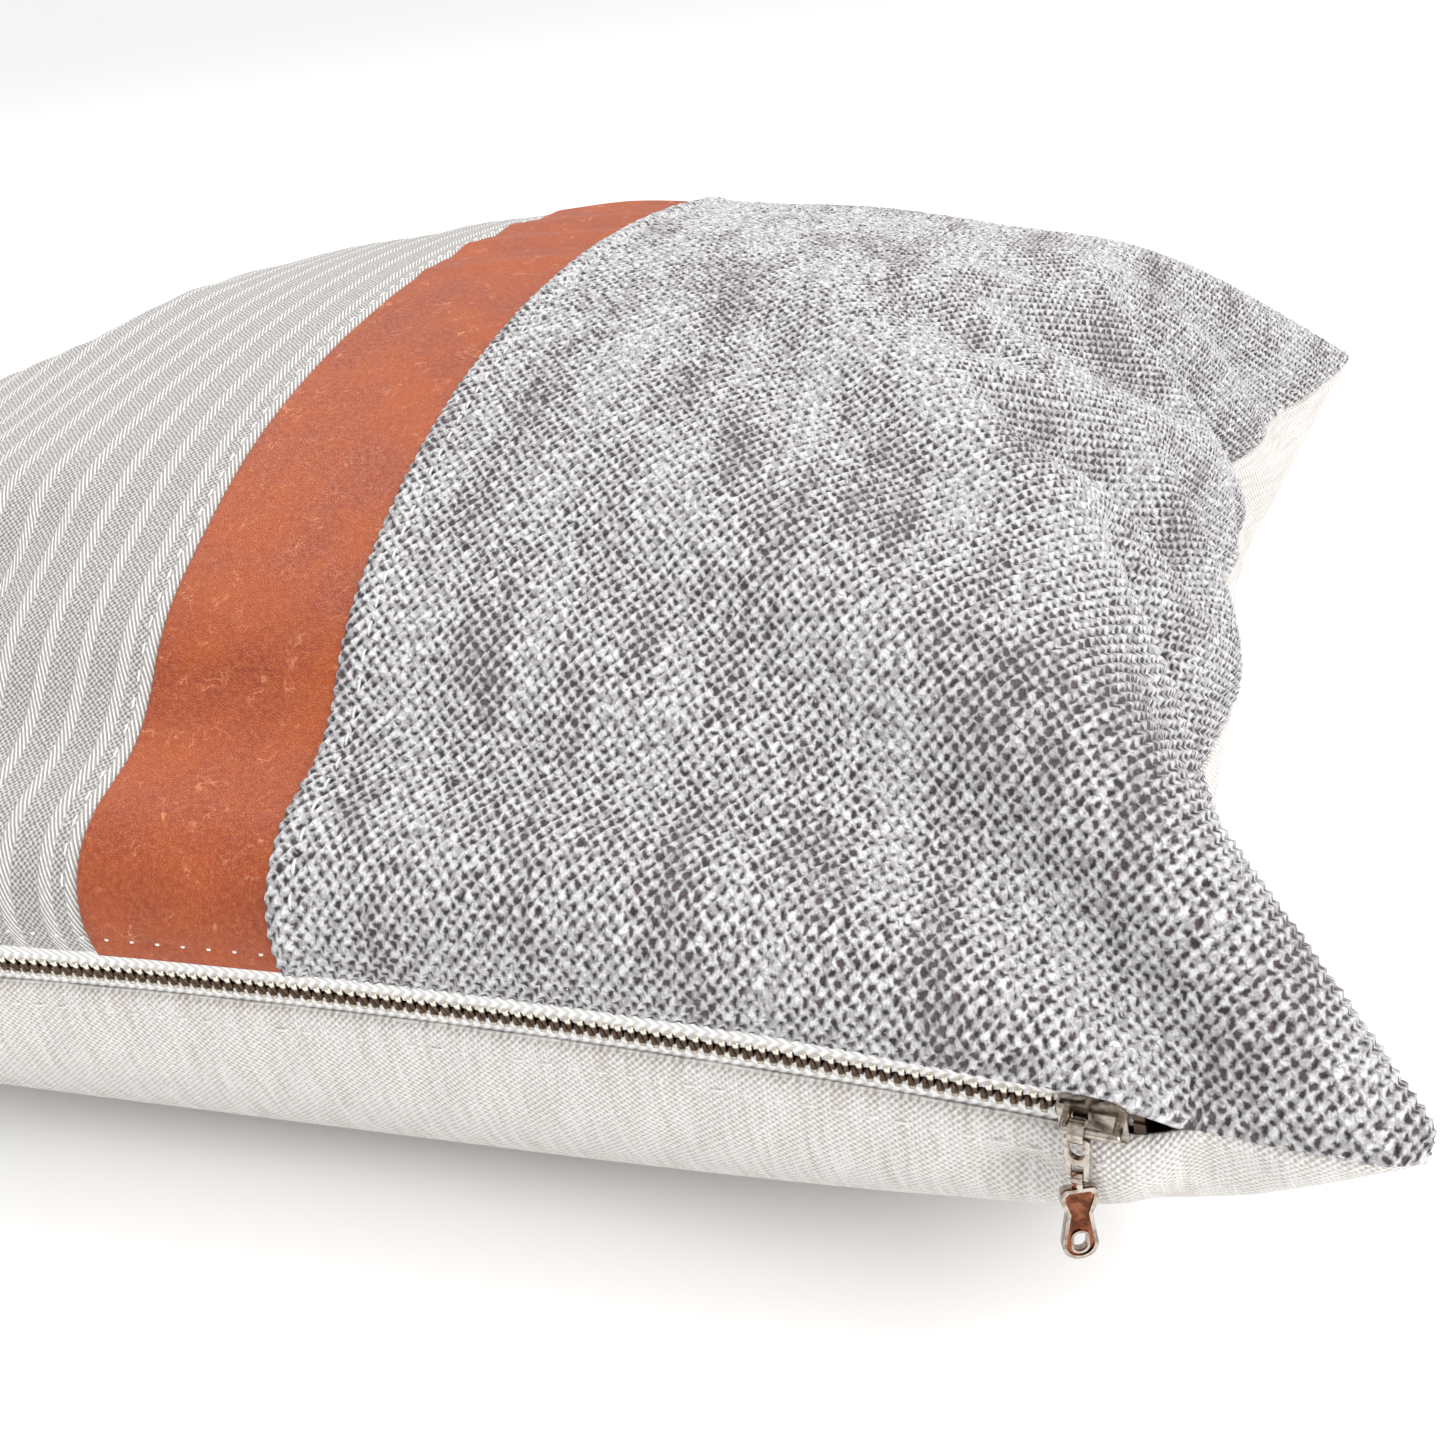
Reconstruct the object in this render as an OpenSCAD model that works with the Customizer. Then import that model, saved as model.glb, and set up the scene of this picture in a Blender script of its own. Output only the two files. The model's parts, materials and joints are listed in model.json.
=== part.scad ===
// Square patchwork throw pillow with a metal zip along its front seam.
// The pillow lies on its back: +Z up, the zip edge faces -Y, the zip closes towards +X.
// The origin is the middle of the flat patch that the pillow rests on.

/* [Cover] */
// Side of the square cover before it is filled
cover_size = 457; // [380:1:550]
// Height of the filled pillow
loft = 158; // [130:1:180]
// Height of the side seams above the floor
seam_z = 64; // [55:1:72]
// How far the middle of a closed side is drawn in from its corners
side_pull = 36; // [20:1:45]
// How far the fabric of a corner is taken up by the filling
corner_take = 12; // [8:1:16]
// Thickness of the cover fabrics
cloth = 0.9; // [0.6:0.1:1.2]
// Width of the leather band across the middle
band_w = 44; // [30:1:70]
// Gap between two panels where they meet at a seam
panel_gap = 0.2; // [0.1:0.1:0.4]

/* [Stitching] */
// Distance between the starts of two topstitches
stitch_pitch = 5.8; // [4:0.1:8]
// Visible length of one stitch
stitch_len = 3.4; // [2.4:0.1:3.6]
// Thickness of the sewing thread
thread = 0.5; // [0.3:0.1:0.7]
// Distance of a row of topstitches from the fabric edge
stitch_inset = 5.3; // [3:0.1:8]
// Width of the turned-in seam allowance
allowance = 5.6; // [4:0.1:6.6]

/* [Zip] */
// Length of the toothed chain
zip_len = 356; // [300:1:360]
// How far the middle of the chain bows in towards the pillow
zip_sag = 10; // [6:1:16]
// Distance from the pillow's middle to the chain's middle
zip_y = 187; // [182:1:192]
// How far the chain faces downwards, in degrees
zip_tilt = 20; // [10:1:30]
// Distance between two teeth of one row
tooth_pitch = 2.54; // [2.4:0.02:3]
// Width of the closed chain
chain_w = 5.9; // [5.6:0.1:6.2]
// Thickness of a tooth
tooth_t = 2.5; // [2.2:0.1:2.8]
// Width of a tooth along the chain, at its legs
tooth_leg = 1.4; // [1.2:0.05:1.5]
// Width of a tooth along the chain, at its head
tooth_head = 1.1; // [0.9:0.05:1.15]
// Thickness of the zip tape
tape_t = 0.6; // [0.4:0.1:0.7]
// Width of one half of the tape
tape_w = 14; // [12:0.5:16]
// Tape that shows above the chain
upper_show = 7.5; // [7:0.1:9]
// Tape that shows below the chain, to the middle of the chain
lower_show = 6.8; // [6.4:0.1:8]
// Tape beyond each end of the chain
tape_tail = 10; // [8:1:12]

/* [Slider] */
// Length of the slider along the chain
slider_len = 11.5; // [10:0.5:12]
// Thickness of the slider's two plates
plate_t = 1.1; // [0.9:0.1:1.3]
// Thickness of the slider's side flanges
flange_t = 0.8; // [0.6:0.1:1]
// Room between the two flanges of one side for the tape
flange_gap = 1.2; // [1:0.1:1.4]
// Clearance between the teeth and the slider
slider_clear = 0.2; // [0.15:0.05:0.3]
// How far each row of teeth is pushed aside at the slider's nose
spread = 1.8; // [1.6:0.1:2]
// Radius of the crown bar
crown_r = 0.8; // [0.6:0.05:0.9]
// Room under the crown bar for the link
crown_room = 1.5; // [1.4:0.1:2]

/* [Pull] */
// Place of the link along the crown bar, from the slider's middle
link_x = -2; // [-2.1:0.1:2]
// Radial clearance of the link's eye on the crown bar, and of the tab's eye on the link
eye_clear = 0.2; // [0.15:0.05:0.25]
// Thickness of the link
link_t = 1.2; // [1:0.1:1.4]
// Width of the link at its top
link_w = 4.4; // [4:0.1:5]
// Width of the link at its bottom
link_foot_w = 3.7; // [3.6:0.1:4]
// Distance between the crown bar and the bar that carries the tab
link_reach = 9.6; // [9:0.1:11]
// Radius of the bar that carries the tab
pin_r = 0.55; // [0.45:0.05:0.6]
// Thickness of the tab
tab_t = 1.6; // [1.2:0.1:1.8]
// Width of the tab's head and foot
tab_w = 6.2; // [5:0.1:7]
// Length of the tab below its eye
tab_len = 17.4; // [15:0.1:20]
// How far the tab is turned against the link, in degrees
tab_twist = 28; // [0:1:30]

/* [Insert] */
// Distance of the insert's seam from the cover's seam
insert_gap = 15; // [14:0.5:18]
// Thickness of the insert's shell fabric
insert_cloth = 0.5; // [0.3:0.1:0.6]
// Air between two layers of fabric
layer_air = 0.5; // [0.4:0.1:0.8]
// Length of the insert's closing seam
closing_len = 200; // [120:1:240]

/* [Hidden] */

// Cells across a whole face of the cover and of the insert
cells = 24;
insert_cells = 20;

// Seam corner, from the middle of the pillow
corner = cover_size / 2 - corner_take;
// Cloth from the middle to a seam, a little shorter than it was cut
cloth_kept = 0.985;
flat_half = cloth_kept * cover_size / 2;
// Height of the top over the side seams
rise = loft - seam_z;
// Half of the gap between the two fabrics of a seam
seam_air = 0.1;

// The zip's chain is an arc about an upright axis in front of the pillow
zip_r = (pow(zip_len / 2, 2) + pow(zip_sag, 2)) / (2 * zip_sag);
// The fabric edges stay apart this far past the tape, and then close over lip_run
lip_past = 4;
lip_end = zip_len / 2 + tape_tail + lip_past;
lip_run = 16;
// The front corners lie this far further in than the back ones
front_in = 4;
// Height of the fabric edges over the tape, outwards
lip_lift = cloth + 1;

band_s = band_w / cover_size;

// ---- shape of the cloth --------------------------------------------------------------

// How sharply a side is drawn in, how steeply the cloth leaves a seam,
// and how square the crown stays towards its corners
pull_power = 3;
swell_power = 1.15;
crown_power = 4;

// Drawn-in share of a side: 1 at its middle, 0 at its corners
function pull(u) = 1 - pow(abs(u), pull_power);

// Cloth coordinate u (-1 to 1) as a share of the filled half width:
// flat at the middle, steep at the seam
function lay(u, half) = u * (1 + (flat_half / half - 1) * (1 - u * u));

// Swell of the cloth in one direction, 1 at the middle and 0 at the seam
function swell(u) = pow(max(0, pull(u)), swell_power);

// Swell in both directions together
function crown(s, t) = let (a = pow(swell(s), crown_power), b = pow(swell(t), crown_power))
  (a * b <= 0) ? 0 : pow(1 / a + 1 / b - 1, -1 / crown_power);

function ramp(v) = min(1, max(0, v));

// The zip's arc at x, and the middle line of its seam, which leaves the arc for the corners
function arc_y(x) = sqrt(zip_r * zip_r - x * x) - zip_y - zip_r;
function chain_y(x) = arc_y(x) - (corner + arc_y(corner) - front_in)
  * pow(ramp((abs(x) - zip_len / 2) / (corner - zip_len / 2)), 2);

// 1 where the zip holds the two fabrics apart, 0 in the corners
function lips(x) = ramp((lip_end + lip_run - abs(x)) / lip_run);

function half_x(t) = corner - side_pull * pull(t);
function back_y(s) = corner - side_pull * pull(s);

// Front edge of one face: side is 1 for the top, -1 for the bottom; lip is 0 for the insert
function rim_y(x, side, lip) = chain_y(x) - lip * lips(x) * (
  side * (side > 0 ? upper_show : lower_show) * sin(zip_tilt) + lip_lift * cos(zip_tilt));
function rim_z(x, side, lip) = lip * lips(x) * (
  side * (side > 0 ? upper_show : lower_show) * cos(zip_tilt) - lip_lift * sin(zip_tilt));

// Place along a side, as a share of its length, where row t of a layer meets it
function row_end(t, edge) = (corner - edge) / corner * lay(t, corner);

// How quickly the lift of a fabric edge over the zip fades inwards
lip_power = 4;

// A point of the top (side 1) or bottom (side -1) cloth at cloth coordinates s and t.
// edge is the inset of its seam, depth its distance under the outer surface.
function cloth_point(side, s, t, edge, depth, lip) = let (
  hx = half_x(row_end(t, edge)) - edge,
  xe = (half_x(1) - edge) * lay(s, half_x(1)),
  hy = t < 0 ? -rim_y(xe, side, lip) - edge : back_y(row_end(s, edge)) - edge,
  zs = seam_z + side * seam_air + (t < 0 ? rim_z(xe, side, lip) * pow(-t, lip_power) : 0),
  z = zs + side * (rise - depth) * crown(s, t)
) [hx * lay(s, half_x(t)), hy * lay(t, t < 0 ? -chain_y(xe) : back_y(s)), max(depth, z)];

// ---- solids from grids of points -----------------------------------------------------

// The two triangles of a cell, cut from its first corner or from its second one
function cell_faces(quad, first) = first
  ? [[quad[0], quad[1], quad[2]], [quad[0], quad[2], quad[3]]]
  : [[quad[0], quad[1], quad[3]], [quad[1], quad[2], quad[3]]];

// Triangles of a grid of (n + 1) by (m + 1) points, from cloth coordinate s0 to s1.
// Each cell is cut towards its own corner of the pillow, so no triangle lies flat in the seam.
function grid_faces(n, m, start, flip, s0, s1) = [
  for (i = [0 : n - 1])
    for (j = [0 : m - 1])
      let (
        a = start + i * (m + 1) + j,
        b = a + m + 1,
        quad = flip ? [a, b, b + 1, a + 1] : [a, a + 1, b + 1, b],
        s = s0 + (s1 - s0) * (i + 0.5) / n,
        t = (2 * j + 1) / m - 1
      )
      each cell_faces(quad, s * t >= 0)
];

// The numbers of a grid's outline, in order round it
function outline(n, m) = concat(
  [for (i = [0 : n - 1]) i * (m + 1)],
  [for (j = [0 : m - 1]) n * (m + 1) + j],
  [for (i = [n : -1 : 1]) i * (m + 1) + m],
  [for (j = [m : -1 : 1]) j]
);

// Wall between the outlines of two grids of the same size
function wall_faces(n, m, start, flip) = let (ring = outline(n, m), k = len(ring)) [
  for (i = [0 : k - 1])
    let (
      a = ring[i],
      b = ring[(i + 1) % k],
      quad = flip ? [a, a + start, b + start, b] : [a, b, b + start, a + start]
    )
    each cell_faces(quad, true)
];

// A closed sheet between two grids; over is 1 if the first grid is the upper one
module closed_sheet(first, second, n, m, over, s0 = -1, s1 = 1) {
  start = (n + 1) * (m + 1);
  polyhedron(
    points = concat(first, second),
    faces = concat(
      grid_faces(n, m, 0, over < 0, s0, s1),
      grid_faces(n, m, start, over > 0, s0, s1),
      wall_faces(n, m, start, over < 0)
    )
  );
}

function cloth_grid(side, s0, s1, n, m, edge, depth, lip) = [
  for (i = [0 : n])
    for (j = [0 : m])
      cloth_point(side, s0 + (s1 - s0) * i / n, -1 + 2 * j / m, edge, depth, lip)
];

// A layer's inner face keeps this many thicknesses in from the seam
seam_fold = 1.5;

// A layer of cloth over part of a face, from cloth coordinate s0 to s1
module cloth_layer(side, s0, s1, n, m, edge, depth, thick, lip) {
  closed_sheet(
    cloth_grid(side, s0, s1, n, m, edge, depth, lip),
    cloth_grid(side, s0, s1, n, m, edge + seam_fold * thick, depth + thick, lip),
    n, m, side, s0, s1
  );
}

// ---- cover ---------------------------------------------------------------------------

panel_cells = ceil(cells * (1 - band_s) / 2);
band_edge_s = panel_gap / cover_size;

module striped_panel() {
  color("#cbc7c1")
    cloth_layer(1, -1, -band_s - band_edge_s, panel_cells, cells, 0, 0, cloth, 1);
}

module leather_band() {
  color("#b5623d")
    cloth_layer(1, -band_s + band_edge_s, band_s - band_edge_s, 2, cells, 0, 0, cloth, 1);
}

module grey_panel() {
  color("#a8a6a9")
    cloth_layer(1, band_s + band_edge_s, 1, panel_cells, cells, 0, 0, cloth, 1);
}

module back_panel() {
  color("#ece6dd")
    cloth_layer(-1, -1, 1, cells, cells, 0, 0, cloth, 1);
}

// A straight thread from p to q
module stitch(p, q) {
  d = q - p;
  flat = norm([d[0], d[1]]);
  translate((p + q) / 2)
    rotate([0, -atan2(d[2], flat), atan2(d[1], d[0])])
      cube([norm(d), thread, thread], center = true);
}

// The middle of a stitch lies this far over the cloth, clear of its facets
stitch_air = thread / 2 + 1.1;
// Share of the cover's width that a row across it runs over
stitched_share = 0.86;

// Topstitches across the pillow, at a distance from the middle
module cross_stitches(x) {
  count = floor(stitched_share * cover_size / stitch_pitch);
  s = 2 * x / cover_size;
  for (i = [0 : count - 1]) {
    t = ((i - (count - 1) / 2) * stitch_pitch) / (cover_size / 2);
    dt = stitch_len / cover_size;
    stitch(
      cloth_point(1, s, t - dt, 0, -stitch_air, 1),
      cloth_point(1, s, t + dt, 0, -stitch_air, 1)
    );
  }
}

module striped_seam_stitching() {
  color("#f4f2ee") cross_stitches(-band_w / 2 - stitch_inset / 2);
}

module grey_topstitching() {
  color("#e8e6e6") cross_stitches(band_w / 2 + stitch_inset);
}

// Topstitches along the zip on one face
module zip_stitches(side) {
  count = floor(zip_len / stitch_pitch);
  t = -1 + 2 * stitch_inset / cover_size;
  for (i = [0 : count - 1]) {
    s = ((i - (count - 1) / 2) * stitch_pitch) / (cover_size / 2);
    ds = stitch_len / cover_size;
    stitch(
      cloth_point(side, s - ds, t, -stitch_air, -stitch_air, 1),
      cloth_point(side, s + ds, t, -stitch_air, -stitch_air, 1)
    );
  }
}

module zip_upper_stitching() {
  color("#f4f2ee") zip_stitches(1);
}

module zip_lower_stitching() {
  color("#f4f2ee") zip_stitches(-1);
}

// ---- seams inside the cover ----------------------------------------------------------

// The turned-in edges start clear of the fabrics that turn round them
allowance_air = 1.6;
allowance_start = seam_fold * cloth + allowance_air;
// Share of a side that the turned-in edges run along, before they taper off in the corners
allowance_reach = 0.78;
allowance_t = 2 * cloth;
allowance_cells = 18;

// A point of the seam plane: along a side (u), inset from it, at height h over the seam
function side_point(turn, u, inset, h) = let (
  w = half_x(u) - inset,
  v = u * half_x(1)
) turn == 0 ? [w, v, seam_z + h] : turn == 180 ? [-w, v, seam_z + h] : [v, w, seam_z + h];

// A flat strip inside the seam of one side; turn is 0 right, 90 back, 180 left
module seam_strip(turn, reach, inset, width, thick) {
  closed_sheet(
    [for (i = [0 : allowance_cells]) for (j = [0 : 1])
      side_point(turn, reach * (2 * i / allowance_cells - 1), inset + j * width, thick / 2)],
    [for (i = [0 : allowance_cells]) for (j = [0 : 1])
      side_point(turn, reach * (2 * i / allowance_cells - 1), inset + j * width, -thick / 2)],
    allowance_cells, 1, turn == 0 ? 1 : -1
  );
}

module seam_allowance_left() {
  color("#d9d5cf") seam_strip(180, allowance_reach, allowance_start, allowance, allowance_t);
}

module seam_allowance_right() {
  color("#b7b4b6") seam_strip(0, allowance_reach, allowance_start, allowance, allowance_t);
}

module seam_allowance_back() {
  color("#cfcac4") seam_strip(90, allowance_reach, allowance_start, allowance, allowance_t);
}

// ---- insert --------------------------------------------------------------------------

insert_depth = cloth + layer_air;
fill_edge = insert_gap + seam_fold * insert_cloth + 2 * layer_air;
fill_depth = insert_depth + insert_cloth + 2 * layer_air;

module insert_front_cover() {
  color("#f7f7f5")
    cloth_layer(1, -1, 1, insert_cells, insert_cells, insert_gap, insert_depth, insert_cloth, 0);
}

module insert_back_cover() {
  color("#f2f2f0")
    cloth_layer(-1, -1, 1, insert_cells, insert_cells, insert_gap, insert_depth, insert_cloth, 0);
}

module insert_fill() {
  color("#ffffff")
    closed_sheet(
      cloth_grid(1, -1, 1, insert_cells, insert_cells, fill_edge, fill_depth, 0),
      cloth_grid(-1, -1, 1, insert_cells, insert_cells, fill_edge, fill_depth, 0),
      insert_cells, insert_cells, 1
    );
}

closing_w = insert_gap - allowance_start - allowance - 2 * layer_air;
closing_t = 2 * insert_cloth;

module insert_closing_seam() {
  color("#e9e9e6")
    seam_strip(90, closing_len / cover_size, insert_gap - layer_air - closing_w, closing_w, closing_t);
}

// ---- zip -----------------------------------------------------------------------------

// Angle along the zip's arc of a place x on the chain
function zip_angle(x) = asin(x / zip_r);

// Local frame of the chain at x: X along it, Z up the tape, -Y outwards
module on_chain(x) {
  translate([0, -zip_y - zip_r, seam_z])
    rotate([0, 0, -zip_angle(x)])
      translate([0, zip_r, 0])
        rotate([zip_tilt, 0, 0])
          children();
}

// A point of the chain's cross-section as radius and height; y inwards, w up the tape
function section(y, w) = [
  zip_r + y * cos(zip_tilt) - w * sin(zip_tilt),
  y * sin(zip_tilt) + w * cos(zip_tilt)
];

// Inner edge of the tape, held in the teeth
tape_edge = 1;
// The tape bends to the slope of the fabric that hides it
bend_slope = 30;
function slope(from, len, side) = from + len * [cos(bend_slope), side * sin(bend_slope)];

// The bend lies this far under the fabric edge
bend_under = 0.6;

// Half of the tape; side is 1 above the chain and -1 below it
module zip_tape(side) {
  bend = (side > 0 ? upper_show : lower_show) - bend_under;
  hidden = tape_w - bend;
  tape_angle = 2 * zip_angle(zip_len / 2 + tape_tail);
  a = section(-tape_t / 2, side * tape_edge);
  b = section(-tape_t / 2, side * bend);
  c = section(tape_t / 2, side * bend);
  d = section(tape_t / 2, side * tape_edge);
  translate([0, -zip_y - zip_r, seam_z])
    rotate([0, 0, 90 - tape_angle / 2])
      rotate_extrude(angle = tape_angle, $fn = 1440)
        polygon([a, b, slope(b, hidden, side), slope(c, hidden, side), c, d]);
}

module zip_tape_upper() {
  color("#f6f5f2") zip_tape(1);
}

module zip_tape_lower() {
  color("#f6f5f2") zip_tape(-1);
}

// Slot in everything that is clamped on the tape
slot_air = 0.06;
clamp_slot = tape_t + 2 * slot_air;
// Half height of a tooth's head
head_w = 0.9;

// One tooth of the upper row: a head that meshes and two legs round the tape
module tooth(shift) {
  difference() {
    union() {
      translate([-tooth_head / 2, -tooth_t / 2, shift - head_w])
        cube([tooth_head, tooth_t, 2 * head_w]);
      translate([-tooth_leg / 2, -tooth_t / 2, shift + head_w])
        cube([tooth_leg, tooth_t, chain_w / 2 - head_w]);
    }
    translate([-tooth_pitch / 2, -clamp_slot / 2, tape_edge - slot_air])
      cube([tooth_pitch, clamp_slot, chain_w + spread]);
  }
}

// The slider stands at the closed end, its nose just past the last teeth
nose_past = 0.5;
slider_x = zip_len / 2 + nose_past - slider_len / 2;
// The divider parts the rows from just behind the slider's middle to near its nose
flare_x = -1;
divider_full = 4;
part_from = slider_x + flare_x;
part_to = slider_x + divider_full;
function shift_at(x) = spread * ramp((x - part_from) / (part_to - part_from));

teeth_count = floor(zip_len / tooth_pitch);

// A row of teeth; side is 1 for the upper row and -1 for the lower one
module teeth_row(side) {
  first = -(teeth_count - 0.5) * tooth_pitch / 2 + (side > 0 ? 0 : tooth_pitch / 2);
  for (i = [0 : teeth_count - 1]) {
    x = first + i * tooth_pitch;
    on_chain(x) rotate([side > 0 ? 0 : 180, 0, 0]) tooth(shift_at(x));
  }
}

module zip_teeth_upper() {
  color("#7a6248") teeth_row(1);
}

module zip_teeth_lower() {
  color("#7a6248") teeth_row(-1);
}

stop_len = 2;
// How far a top stop grips over the tape's edge, and how tall it is
stop_grip = 0.4;
stop_h = 3;
top_stop_x = zip_len / 2 + 1 + stop_len / 2;
bottom_stop_x = -zip_len / 2 - 0.6 - stop_len / 2;

// Two small clamps, one on each half of the tape
module zip_top_stops() {
  color("#5d4a38")
    for (side = [1, -1])
      on_chain(top_stop_x)
        rotate([side > 0 ? 0 : 180, 0, 0])
          difference() {
            translate([-stop_len / 2, -tooth_t / 2, tape_edge - stop_grip])
              cube([stop_len, tooth_t, stop_h]);
            translate([-stop_len, -clamp_slot / 2, tape_edge - slot_air])
              cube([2 * stop_len, clamp_slot, stop_h]);
          }
}

// One clamp that holds both halves of the tape together
module zip_bottom_stop() {
  color("#5d4a38")
    on_chain(bottom_stop_x)
      difference() {
        cube([stop_len, tooth_t, 2 * (tape_edge - stop_grip) + stop_h + 1], center = true);
        for (side = [1, -1])
          translate([0, 0, side * (tape_edge - slot_air + stop_h / 2)])
            cube([2 * stop_len, clamp_slot, stop_h], center = true);
      }
}

// ---- slider --------------------------------------------------------------------------

channel_h = tooth_t + 2 * slider_clear;
tail_w = chain_w / 2 + slider_clear;
nose_w = tail_w + spread;
// The slider is at its widest from here to its nose; its corners are cut off
wide_x = 2.5;
tail_cut = 0.6;
nose_cut = 1.2;
plate_face = channel_h / 2 + plate_t;

// Outline of the slider's channel, widened all round by more
module slider_outline(more) {
  tail = -slider_len / 2;
  nose = slider_len / 2;
  w = tail_w + more;
  n = nose_w + more;
  polygon([
    [tail, -w + tail_cut], [tail + tail_cut, -w], [flare_x, -w], [wide_x, -n],
    [nose - nose_cut, -n], [nose, -n + nose_cut], [nose, n - nose_cut], [nose - nose_cut, n],
    [wide_x, n], [flare_x, w], [tail + tail_cut, w], [tail, w - tail_cut]
  ]);
}

// One plate with its two flanges; out is 1 for the face that shows
module slider_half(out) {
  rotate([90, 0, 0])
    translate([0, 0, out > 0 ? channel_h / 2 : -plate_face])
      linear_extrude(plate_t) slider_outline(flange_t);
  rotate([90, 0, 0])
    translate([0, 0, out > 0 ? flange_gap / 2 : -channel_h / 2])
      linear_extrude((channel_h - flange_gap) / 2)
        difference() {
          slider_outline(flange_t);
          slider_outline(0);
          for (end = [-1, 1])
            translate([end * slider_len / 2, 0])
              square([2, 2 * (end > 0 ? nose_w : tail_w)], center = true);
        }
}

divider_from = 1.8;
divider_w = 0.6;

module slider_body() {
  color("#c9c4bd")
    on_chain(slider_x) {
      slider_half(1);
      slider_half(-1);
      // the divider that parts the two rows and joins the two plates
      rotate([90, 0, 0])
        translate([0, 0, -channel_h / 2])
          linear_extrude(channel_h)
            polygon([
              [divider_from, 0], [divider_full, -divider_w], [slider_len / 2, -divider_w],
              [slider_len / 2, divider_w], [divider_full, divider_w]
            ]);
    }
}

crown_y = -(plate_face + crown_room + crown_r);
// The crown's two posts stand this far in from the slider's ends
post_inset = 1.4;
crown_half = slider_len / 2 - post_inset;

// The arched bar on the slider's face
module slider_crown() {
  color("#d6d2cc")
    on_chain(slider_x) {
      translate([-crown_half, crown_y, 0])
        rotate([0, 90, 0]) cylinder(h = 2 * crown_half, r = crown_r, $fn = 32);
      for (end = [-1, 1])
        translate([end * crown_half, 0, 0]) {
          translate([0, crown_y, 0]) sphere(r = crown_r, $fn = 32);
          translate([0, crown_y, 0])
            rotate([-90, 0, 0]) cylinder(h = -crown_y - plate_face, r = crown_r, $fn = 32);
        }
    }
}

// ---- pull ----------------------------------------------------------------------------

// Frame of the pull: origin on the crown bar at the link, X along the bar, Z up
module at_pull() {
  translate([0, -zip_y - zip_r, seam_z])
    rotate([0, 0, -zip_angle(slider_x)])
      translate([link_x, zip_r + crown_y * cos(zip_tilt), crown_y * sin(zip_tilt)])
        children();
}

eye_r = crown_r + eye_clear;
eye_wall = 1.05;
eye_out = eye_r + eye_wall;
eye_w = 2.6;
// Heights in the link, from the crown bar down
collar_z = -1;
shoulder_z = -1.6;
window_top_z = -2.3;
window_z = -5.6;
window_r = 1.35;
bridge_z = -6.6;
arm_w = 0.75;
// The windows narrow by this much towards the foot, on each side
window_taper = 0.1;

module pull_link() {
  upper_half = link_w / 2 - arm_w;
  lower_half = link_foot_w / 2 - arm_w;
  color("#d8d5d0")
    at_pull()
      difference() {
        union() {
          translate([-eye_w / 2, 0, 0])
            rotate([0, 90, 0]) cylinder(h = eye_w, r = eye_out, $fn = 40);
          translate([0, link_t / 2, 0])
            rotate([90, 0, 0])
              linear_extrude(link_t)
                difference() {
                  polygon([
                    [-eye_w / 2, collar_z], [-link_w / 2, shoulder_z],
                    [-link_foot_w / 2, -link_reach], [link_foot_w / 2, -link_reach],
                    [link_w / 2, shoulder_z], [eye_w / 2, collar_z]
                  ]);
                  // upper window with a round foot
                  polygon([
                    [-upper_half, window_top_z], [upper_half, window_top_z],
                    [upper_half - window_taper, window_z + window_r],
                    [-upper_half + window_taper, window_z + window_r]
                  ]);
                  translate([0, window_z + window_r]) circle(r = window_r, $fn = 32);
                  // lower window, open for the tab's eye
                  polygon([
                    [-lower_half, bridge_z], [lower_half, bridge_z],
                    [lower_half, -link_reach - 1], [-lower_half, -link_reach - 1]
                  ]);
                }
          // the bar that carries the tab, between two round ends
          translate([-link_foot_w / 2, 0, -link_reach])
            rotate([0, 90, 0]) cylinder(h = link_foot_w, r = pin_r, $fn = 32);
          for (end = [-1, 1])
            translate([end * (link_foot_w - arm_w) / 2 - arm_w / 2, 0, -link_reach])
              rotate([0, 90, 0]) cylinder(h = arm_w, r = link_t / 2, $fn = 32);
        }
        translate([-eye_w, 0, 0])
          rotate([0, 90, 0]) cylinder(h = 2 * eye_w, r = eye_r, $fn = 40);
      }
}

// Play of the tab's eye between the link's arms, on each side
tab_play = 0.2;
tab_eye_w = link_foot_w - 2 * (arm_w + tab_play);
tab_eye_r = pin_r + eye_clear;
tab_eye_wall = 0.5;
tab_eye_out = tab_eye_r + tab_eye_wall;
// The tab's head: its top, its height, its cut corners, and the waist under it
neck_z = -2.1;
head_h = 3;
head_cut = 0.7;
waist_z = -7.5;
waist_in = 0.9;
// The neck overlaps the eye and the head by this much
neck_lap = 0.4;
// Raised rim, and the depth of the face inside it
rim_w = 0.7;
recess = 0.3;
foot_r = tab_w / 2;
foot_z = -tab_len + foot_r;
// Long hole near the foot
hole_r = 1.15;
hole_len = 1.8;
hole_z = foot_z + 0.6;
hole_rim = 0.45;

// Outline of the tab, drawn in by less all round; its foot is round
module tab_outline(less) {
  head = tab_w / 2 - less;
  polygon([
    [-head + head_cut, neck_z - less], [-head, neck_z - head_cut - less],
    [-head, neck_z - head_h + less], [-head + waist_in, waist_z], [-head, foot_z],
    [head, foot_z], [head - waist_in, waist_z], [head, neck_z - head_h + less],
    [head, neck_z - head_cut - less], [head - head_cut, neck_z - less]
  ]);
  translate([0, foot_z]) circle(r = foot_r - less, $fn = 48);
}

// The long hole, widened all round by more
module tab_hole(more) {
  for (end = [-1, 1])
    translate([0, hole_z + end * hole_len / 2]) circle(r = hole_r + more, $fn = 32);
  translate([0, hole_z]) square([2 * (hole_r + more), hole_len], center = true);
}

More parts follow.
